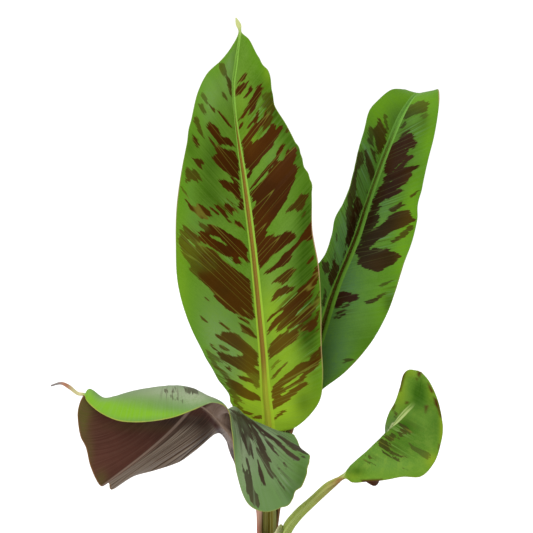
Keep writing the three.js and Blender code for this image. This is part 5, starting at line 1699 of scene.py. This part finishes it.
def stem_material():
    """Green sheaths flushed and streaked with wine red, with dry brown edges."""
    material, nodes, shader, spot = new_material("sheath")
    lane = nodes.carried("lane")
    level = nodes.height(spot)
    mottle = nodes.group(MOTTLE, place=spot, cloud=70.0)
    stripes = nodes.vector(nodes.times(lane, 14.0), nodes.times(level, 30.0))
    streak = nodes.noise(stripes, 1.0, 2.0)
    drift = nodes.times(level, 40.0)
    flush = nodes.noise(nodes.vector(nodes.times(lane, 3.0), drift, 7.0), 1.0, 3.0)
    dry = nodes.math("ADD", nodes.carried("turn"), nodes.times(streak, 0.12))
    skin = nodes.layers(
        paints(STEM_LOOK), "green",
        (nodes.ramp(mottle["Clouds"], 0.35, 0.65), "green_2"),
        (nodes.ramp(flush, 0.46, 0.6, 0.0, 0.85), "wine"),
        (nodes.ramp(streak, 0.45, 0.75, 0.0, 0.5), "stripe"),
        (nodes.ramp(level, 0.112, 0.14, 0.75, 0.0), "foot"),
        (nodes.ramp(dry, 0.9, 1.02, 0.0, 0.9), "dry"),
        (nodes.ramp(level, 0.172, 0.18, 0.0, 0.9), "lip"),
    )
    dress(nodes, shader, skin, streak, (0.42, 0.6), 0.2)
    bump(nodes, shader, streak, 0.5, 0.0004)
    return material


def rounded(corners, radius, steps=5):
    """A profile whose corners are rounded and whose long straights are divided."""
    corners = np.array(corners, float)
    points = [corners[0]]
    for before, corner, after in zip(corners[:-2], corners[1:-1], corners[2:]):
        way_in, way_out = before - corner, after - corner
        reach_in, reach_out = np.linalg.norm(way_in), np.linalg.norm(way_out)
        cut = min(radius, reach_in * 0.45, reach_out * 0.45)
        start, end = corner + way_in / reach_in * cut, corner + way_out / reach_out * cut
        for k in range(steps + 1):
            w = k / steps
            points.append((1 - w) ** 2 * start + 2 * w * (1 - w) * corner + w * w * end)
    points.append(corners[-1])
    full = [points[0]]
    for a, b in zip(points[:-1], points[1:]):
        parts = max(1, int(np.linalg.norm(b - a) / PROFILE_STEP))
        full += [a + (b - a) * (k + 1) / parts for k in range(parts)]
    return np.array(full)


def pot():
    """The clay pot: a turned body with a rim, fine turning marks and drainage holes."""
    slope = (POT_TOP_RADIUS - RIM_OVERHANG - POT_FOOT_RADIUS) / POT_HEIGHT

    def outer(level):
        return POT_FOOT_RADIUS + slope * level

    def inner(level):
        return outer(level) - POT_WALL

    rim_foot = POT_HEIGHT - RIM_HEIGHT
    profile = rounded([
        (POT_MIDDLE, 0), (POT_FOOT_RADIUS, 0), (outer(rim_foot), rim_foot),
        (POT_TOP_RADIUS - RIM_TAPER, rim_foot), (POT_TOP_RADIUS, POT_HEIGHT),
        (inner(POT_HEIGHT), POT_HEIGHT), (inner(POT_FLOOR), POT_FLOOR), (POT_MIDDLE, POT_FLOOR),
    ], EDGE_ROUNDING)
    rings = []
    for radius, level in profile:
        at = np.array([level])
        mark = sum(high * waves(seed, at, pitch)[0] for seed, high, pitch in TURNING_MARKS)
        above_foot = min(1, max(0, (level - PLAIN_END) / FOOT_FADE))
        on_wall = above_foot * min(1, max(0, (POT_HEIGHT - PLAIN_END - level) / RIM_FADE))
        radius = radius - TURNING_ROOM + mark * on_wall * TURNING_DEPTH
        rings.append(ring(radius, level, TURNED_SIDES))
    body = place("pot_clay", grid_mesh("pot_clay", rings))
    cutters = []
    for k in range(DRAINS):
        angle = (k + 0.5) * 2 * math.pi / DRAINS
        centre = np.array([DRAIN_RING * math.cos(angle), DRAIN_RING * math.sin(angle), 0])
        levels = -DRAIN_SPARE, POT_FLOOR + DRAIN_SPARE
        ends = [ring(DRAIN_RADIUS, level, DRAIN_SIDES) + centre for level in levels]
        cutter = place(f"drain_{k}", grid_mesh(f"drain_{k}", ends))
        cut = body.modifiers.new(f"drain_{k}", "BOOLEAN")
        cut.object = cutter
        cut.operation = "DIFFERENCE"
        cutters.append(cutter)
    depsgraph = bpy.context.evaluated_depsgraph_get()
    finished = bpy.data.meshes.new_from_object(body.evaluated_get(depsgraph))
    body.modifiers.clear()
    body.data = finished
    for cutter in cutters:
        bpy.data.objects.remove(cutter)
    finished.materials.clear()
    finished.materials.append(clay_material())
    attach(body, "root")
    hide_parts("pot")


def clay_material():
    """Fired clay: orange brown, cloudy, with pale salts low down and on the rim."""
    material, nodes, shader, spot = new_material("clay")
    level = nodes.height(spot)
    mottle = nodes.group(MOTTLE, place=spot, cloud=22.0, grain=1400.0)
    turned = nodes.noise(nodes.vector(0.0, 0.0, nodes.times(level, 420.0)), 1.0, 2.0)
    salts = nodes.noise(spot, 38.0, 4.0)
    low = nodes.ramp(level, 0.0, 0.045, 1.0, 0.0)
    high = nodes.ramp(level, 0.085, 0.12, 0.0, 0.6)
    ends = nodes.math("ADD", low, high, clamp=True)
    bloom = nodes.times(ends, nodes.ramp(salts, 0.45, 0.7))
    clay = nodes.layers(
        paints(CLAY_LOOK), "clay",
        (nodes.ramp(mottle["Clouds"], 0.3, 0.7), "clay_2"),
        (nodes.ramp(turned, 0.35, 0.75, 0.0, 0.25), "turned"),
        (nodes.ramp(mottle["Grains"], 0.55, 0.75, 0.0, 0.35), "grain"),
        (nodes.times(bloom, 0.6), "salts"),
    )
    dress(nodes, shader, clay, mottle["Grains"], (0.78, 0.92), 0.25)
    height = nodes.math("ADD", mottle["Grains"], nodes.times(turned, 0.8))
    bump(nodes, shader, height, 0.45, 0.0005)
    return material


def soil_level(radius, angle):
    """Height of the compost's surface, with its mound round the stem and its crumbs."""
    radii = (0, MOUND_RADIUS, MOUND_FOOT_RADIUS, SOIL_RADIUS)
    rises = (SOIL_DOME, SOIL_DOME, SOIL_DOME / 2, 0)
    smooth = SOIL_LEVEL + np.interp(radius, radii, rises) - SOIL_CRUMB
    x, y = radius * np.cos(angle), radius * np.sin(angle)
    crumbs = waves(21, x + 0.37 * y, 3.1) * waves(22, y - 0.31 * x, 3.4)
    crumbs = crumbs + 0.5 * waves(23, x - 0.8 * y, 1.5) * waves(24, y + 0.7 * x, 1.7)
    return smooth + SOIL_CRUMB * np.clip(crumbs, -1, 1)


def soil():
    """Compost: a body with a crumbly top, and a hole for the stem."""
    angle = np.arange(SOIL_SIDES) * 2 * math.pi / SOIL_SIDES
    rings = [
        ring(SOIL_FOOT_RADIUS, SOIL_FOOT, SOIL_SIDES),
        ring(SOIL_RADIUS - 0.2, SOIL_LEVEL - 4, SOIL_SIDES),
    ]
    for radius in np.linspace(SOIL_RADIUS - 0.1, SOIL_HOLE_RADIUS, SOIL_RINGS):
        rings.append(ring(radius, soil_level(radius, angle), SOIL_SIDES))
    rings.append(ring(SOIL_HOLE_RADIUS, STEM_FOOT - 0.3, SOIL_SIDES))
    mesh = grid_mesh("soil_compost", rings)
    mesh.materials.append(soil_material())
    body = place("soil_compost", mesh)
    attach(body, "root")
    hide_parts("soil")


def turn_about(angle, axis):
    """A turn about the axis x, or z, as a matrix."""
    first, second = (1, 2) if axis == "x" else (0, 1)
    matrix = np.eye(3)
    matrix[first, first] = matrix[second, second] = math.cos(angle)
    matrix[second, first] = math.sin(angle)
    matrix[first, second] = -math.sin(angle)
    return matrix


def soil_bits():
    """Loose bits of bark and of pale perlite that lie on the compost."""
    draw = np.random.default_rng(31)
    points, faces, kinds = [], [], []
    for _ in range(SOIL_BITS):
        radius = math.sqrt(draw.uniform((SOIL_HOLE_RADIUS + 3) ** 2, (SOIL_RADIUS - 4) ** 2))
        turn = draw.uniform(0, 2 * math.pi)
        pale = draw.uniform() < PERLITE_SHARE
        if pale:
            size = draw.uniform(*PERLITE_SIZE) * np.ones(3)
        else:
            size = draw.uniform(*BARK_SIZE, 3) * BARK_FORM
        corners = unit(draw.normal(size=(12, 3))) * size
        yaw, pitch = draw.uniform(0, 2 * math.pi), draw.normal() * BIT_TILT
        centre = np.array([radius * math.cos(turn), radius * math.sin(turn), 0])
        centre[2] = min(soil_level(radius, turn) + size[2] * 0.35, SOIL_LEVEL + SOIL_DOME)
        form = bmesh.new()
        for corner in corners @ turn_about(pitch, "x").T @ turn_about(yaw, "z").T + centre:
            form.verts.new(corner * MM)
        hull = bmesh.ops.convex_hull(form, input=form.verts)
        inside = [v for v in hull["geom_interior"] if v.is_valid]
        bmesh.ops.delete(form, geom=inside, context="VERTS")
        form.verts.index_update()
        start = len(points)
        points += [v.co.copy() for v in form.verts]
        faces += [[start + v.index for v in face.verts] for face in form.faces]
        kinds += [float(pale)] * len(form.verts)
        form.free()
    mesh = bpy.data.meshes.new("soil_bits")
    mesh.from_pydata(points, [], faces)
    carry(mesh, "perlite", kinds)
    mesh.materials.append(bits_material())
    bits = place("soil_bits", mesh)
    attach(bits, "root")


def soil_material():
    """Dark, damp compost with paler grains."""
    material, nodes, shader, spot = new_material("compost")
    mottle = nodes.group(MOTTLE, place=spot, cloud=160.0, grain=1100.0)
    skin = nodes.layers(
        paints(SOIL_LOOK), "compost",
        (nodes.ramp(mottle["Clouds"], 0.35, 0.65), "compost_2"),
        (nodes.ramp(mottle["Grains"], 0.58, 0.72, 0.0, 0.7), "grain"),
    )
    dress(nodes, shader, skin, mottle["Grains"], (0.85, 0.98), 0.15)
    height = nodes.math("ADD", mottle["Grains"], nodes.times(mottle["Clouds"], 2.0))
    bump(nodes, shader, height, 0.8, 0.0012)
    return material


def bits_material():
    """Brown bark, and off-white perlite."""
    material, nodes, shader, spot = new_material("bark_and_perlite")
    mottle = nodes.group(MOTTLE, place=spot, cloud=260.0, grain=1800.0)
    look = paints(SOIL_LOOK)
    clouds = nodes.ramp(mottle["Clouds"], 0.35, 0.65)
    bark = nodes.layers(look, "bark", (clouds, "bark_2"))
    specks = nodes.ramp(mottle["Grains"], 0.35, 0.7)
    perlite = nodes.layers(look, "perlite", (specks, "perlite_2"))
    skin = nodes.mix(nodes.carried("perlite"), bark, perlite)
    dress(nodes, shader, skin, mottle["Grains"], (0.8, 0.95), 0.15)
    bump(nodes, shader, mottle["Grains"], 0.5, 0.0004)
    return material


def camera():
    """Stands where the photograph was taken from."""
    data = bpy.data.cameras.new("camera")
    data.lens = CAMERA_LENS
    data.sensor_width = SENSOR_WIDTH
    data.clip_end = 1000
    piece = place("camera", data)
    piece.location = Vector(CAMERA_PLACE) * MM
    piece.rotation_euler = (math.pi / 2, 0, 0)
    bpy.context.scene.camera = piece


def studio():
    """The floor, the world's light and the lamp."""
    mesh = bpy.data.meshes.new("floor")
    corners = [(x, y, 0) for x, y in ((-1, -1), (1, -1), (1, 1), (-1, 1))]
    mesh.from_pydata([Vector(corner) * FLOOR_HALF for corner in corners], [], [(0, 1, 2, 3)])
    floor = place("floor", mesh)
    finish, _, shader, _ = new_material("floor_paint")
    shader.inputs["Base Color"].default_value = FLOOR_PAINT
    shader.inputs["Roughness"].default_value = FLOOR_ROUGHNESS
    mesh.materials.append(finish)
    world = bpy.data.worlds.new("studio")
    world.use_nodes = True
    nodes = Nodes(world.node_tree)
    seen = nodes.add("ShaderNodeLightPath").outputs["Is Camera Ray"]
    upward = nodes.height(nodes.add("ShaderNodeTexCoord").outputs["Generated"])
    sky = nodes.ramp(upward, -0.1, 1.0, *WORLD_LIGHT)
    light = nodes.times(sky, nodes.math("SUBTRACT", 1.0, seen))
    light = nodes.math("MULTIPLY_ADD", seen, WORLD_SEEN, light)
    background = world.node_tree.nodes["Background"]
    nodes.feed(background.inputs["Strength"], light)
    background.inputs["Color"].default_value = (1, 1, 1, 1)
    bpy.context.scene.world = world
    lamp = bpy.data.lights.new("lamp", "SUN")
    lamp.energy = LAMP_STRENGTH
    lamp.angle = LAMP_WIDTH
    place("lamp", lamp).rotation_euler = Vector(LAMP_FROM).to_track_quat("Z", "Y").to_euler()
    bpy.context.scene.view_settings.view_transform = "Standard"


camera()
studio()

stem()
soil()
soil_bits()
pot()
leaf("leaf_main", MAIN_LEAF, 460, 38, MAIN_BLOTCHES, MAIN_LOOK, MAIN_TINTS,
     clearings=MAIN_CLEARINGS, rib_widths=MAIN_RIB, notches=MAIN_NOTCHES)
leaf("leaf_rear", REAR_LEAF, 400, 36, REAR_BLOTCHES, REAR_LOOK, REAR_TINTS,
     clearings=REAR_CLEARINGS, rib_widths=REAR_RIB, notches=REAR_NOTCHES)
leaf("leaf_drooping", DROOPING_LEAF, 460, 38, DROOPING_BLOTCHES, DROOPING_LOOK, DROOPING_TINTS,
     painted_light_outlines=[DROOPING_PAINTED_LIGHT], shades=DROOPING_SHADES, pleats=PLEAT_HEIGHT, spread=0.1,
     notches=DROOPING_NOTCHES)
leaf("leaf_small", SMALL_LEAF, 300, 30, SMALL_BLOTCHES, SMALL_LOOK, SMALL_TINTS,
     scorches=SMALL_SCORCHES, rib_widths=SMALL_RIB, spread=0.15, grain=(0.87, 0.5))
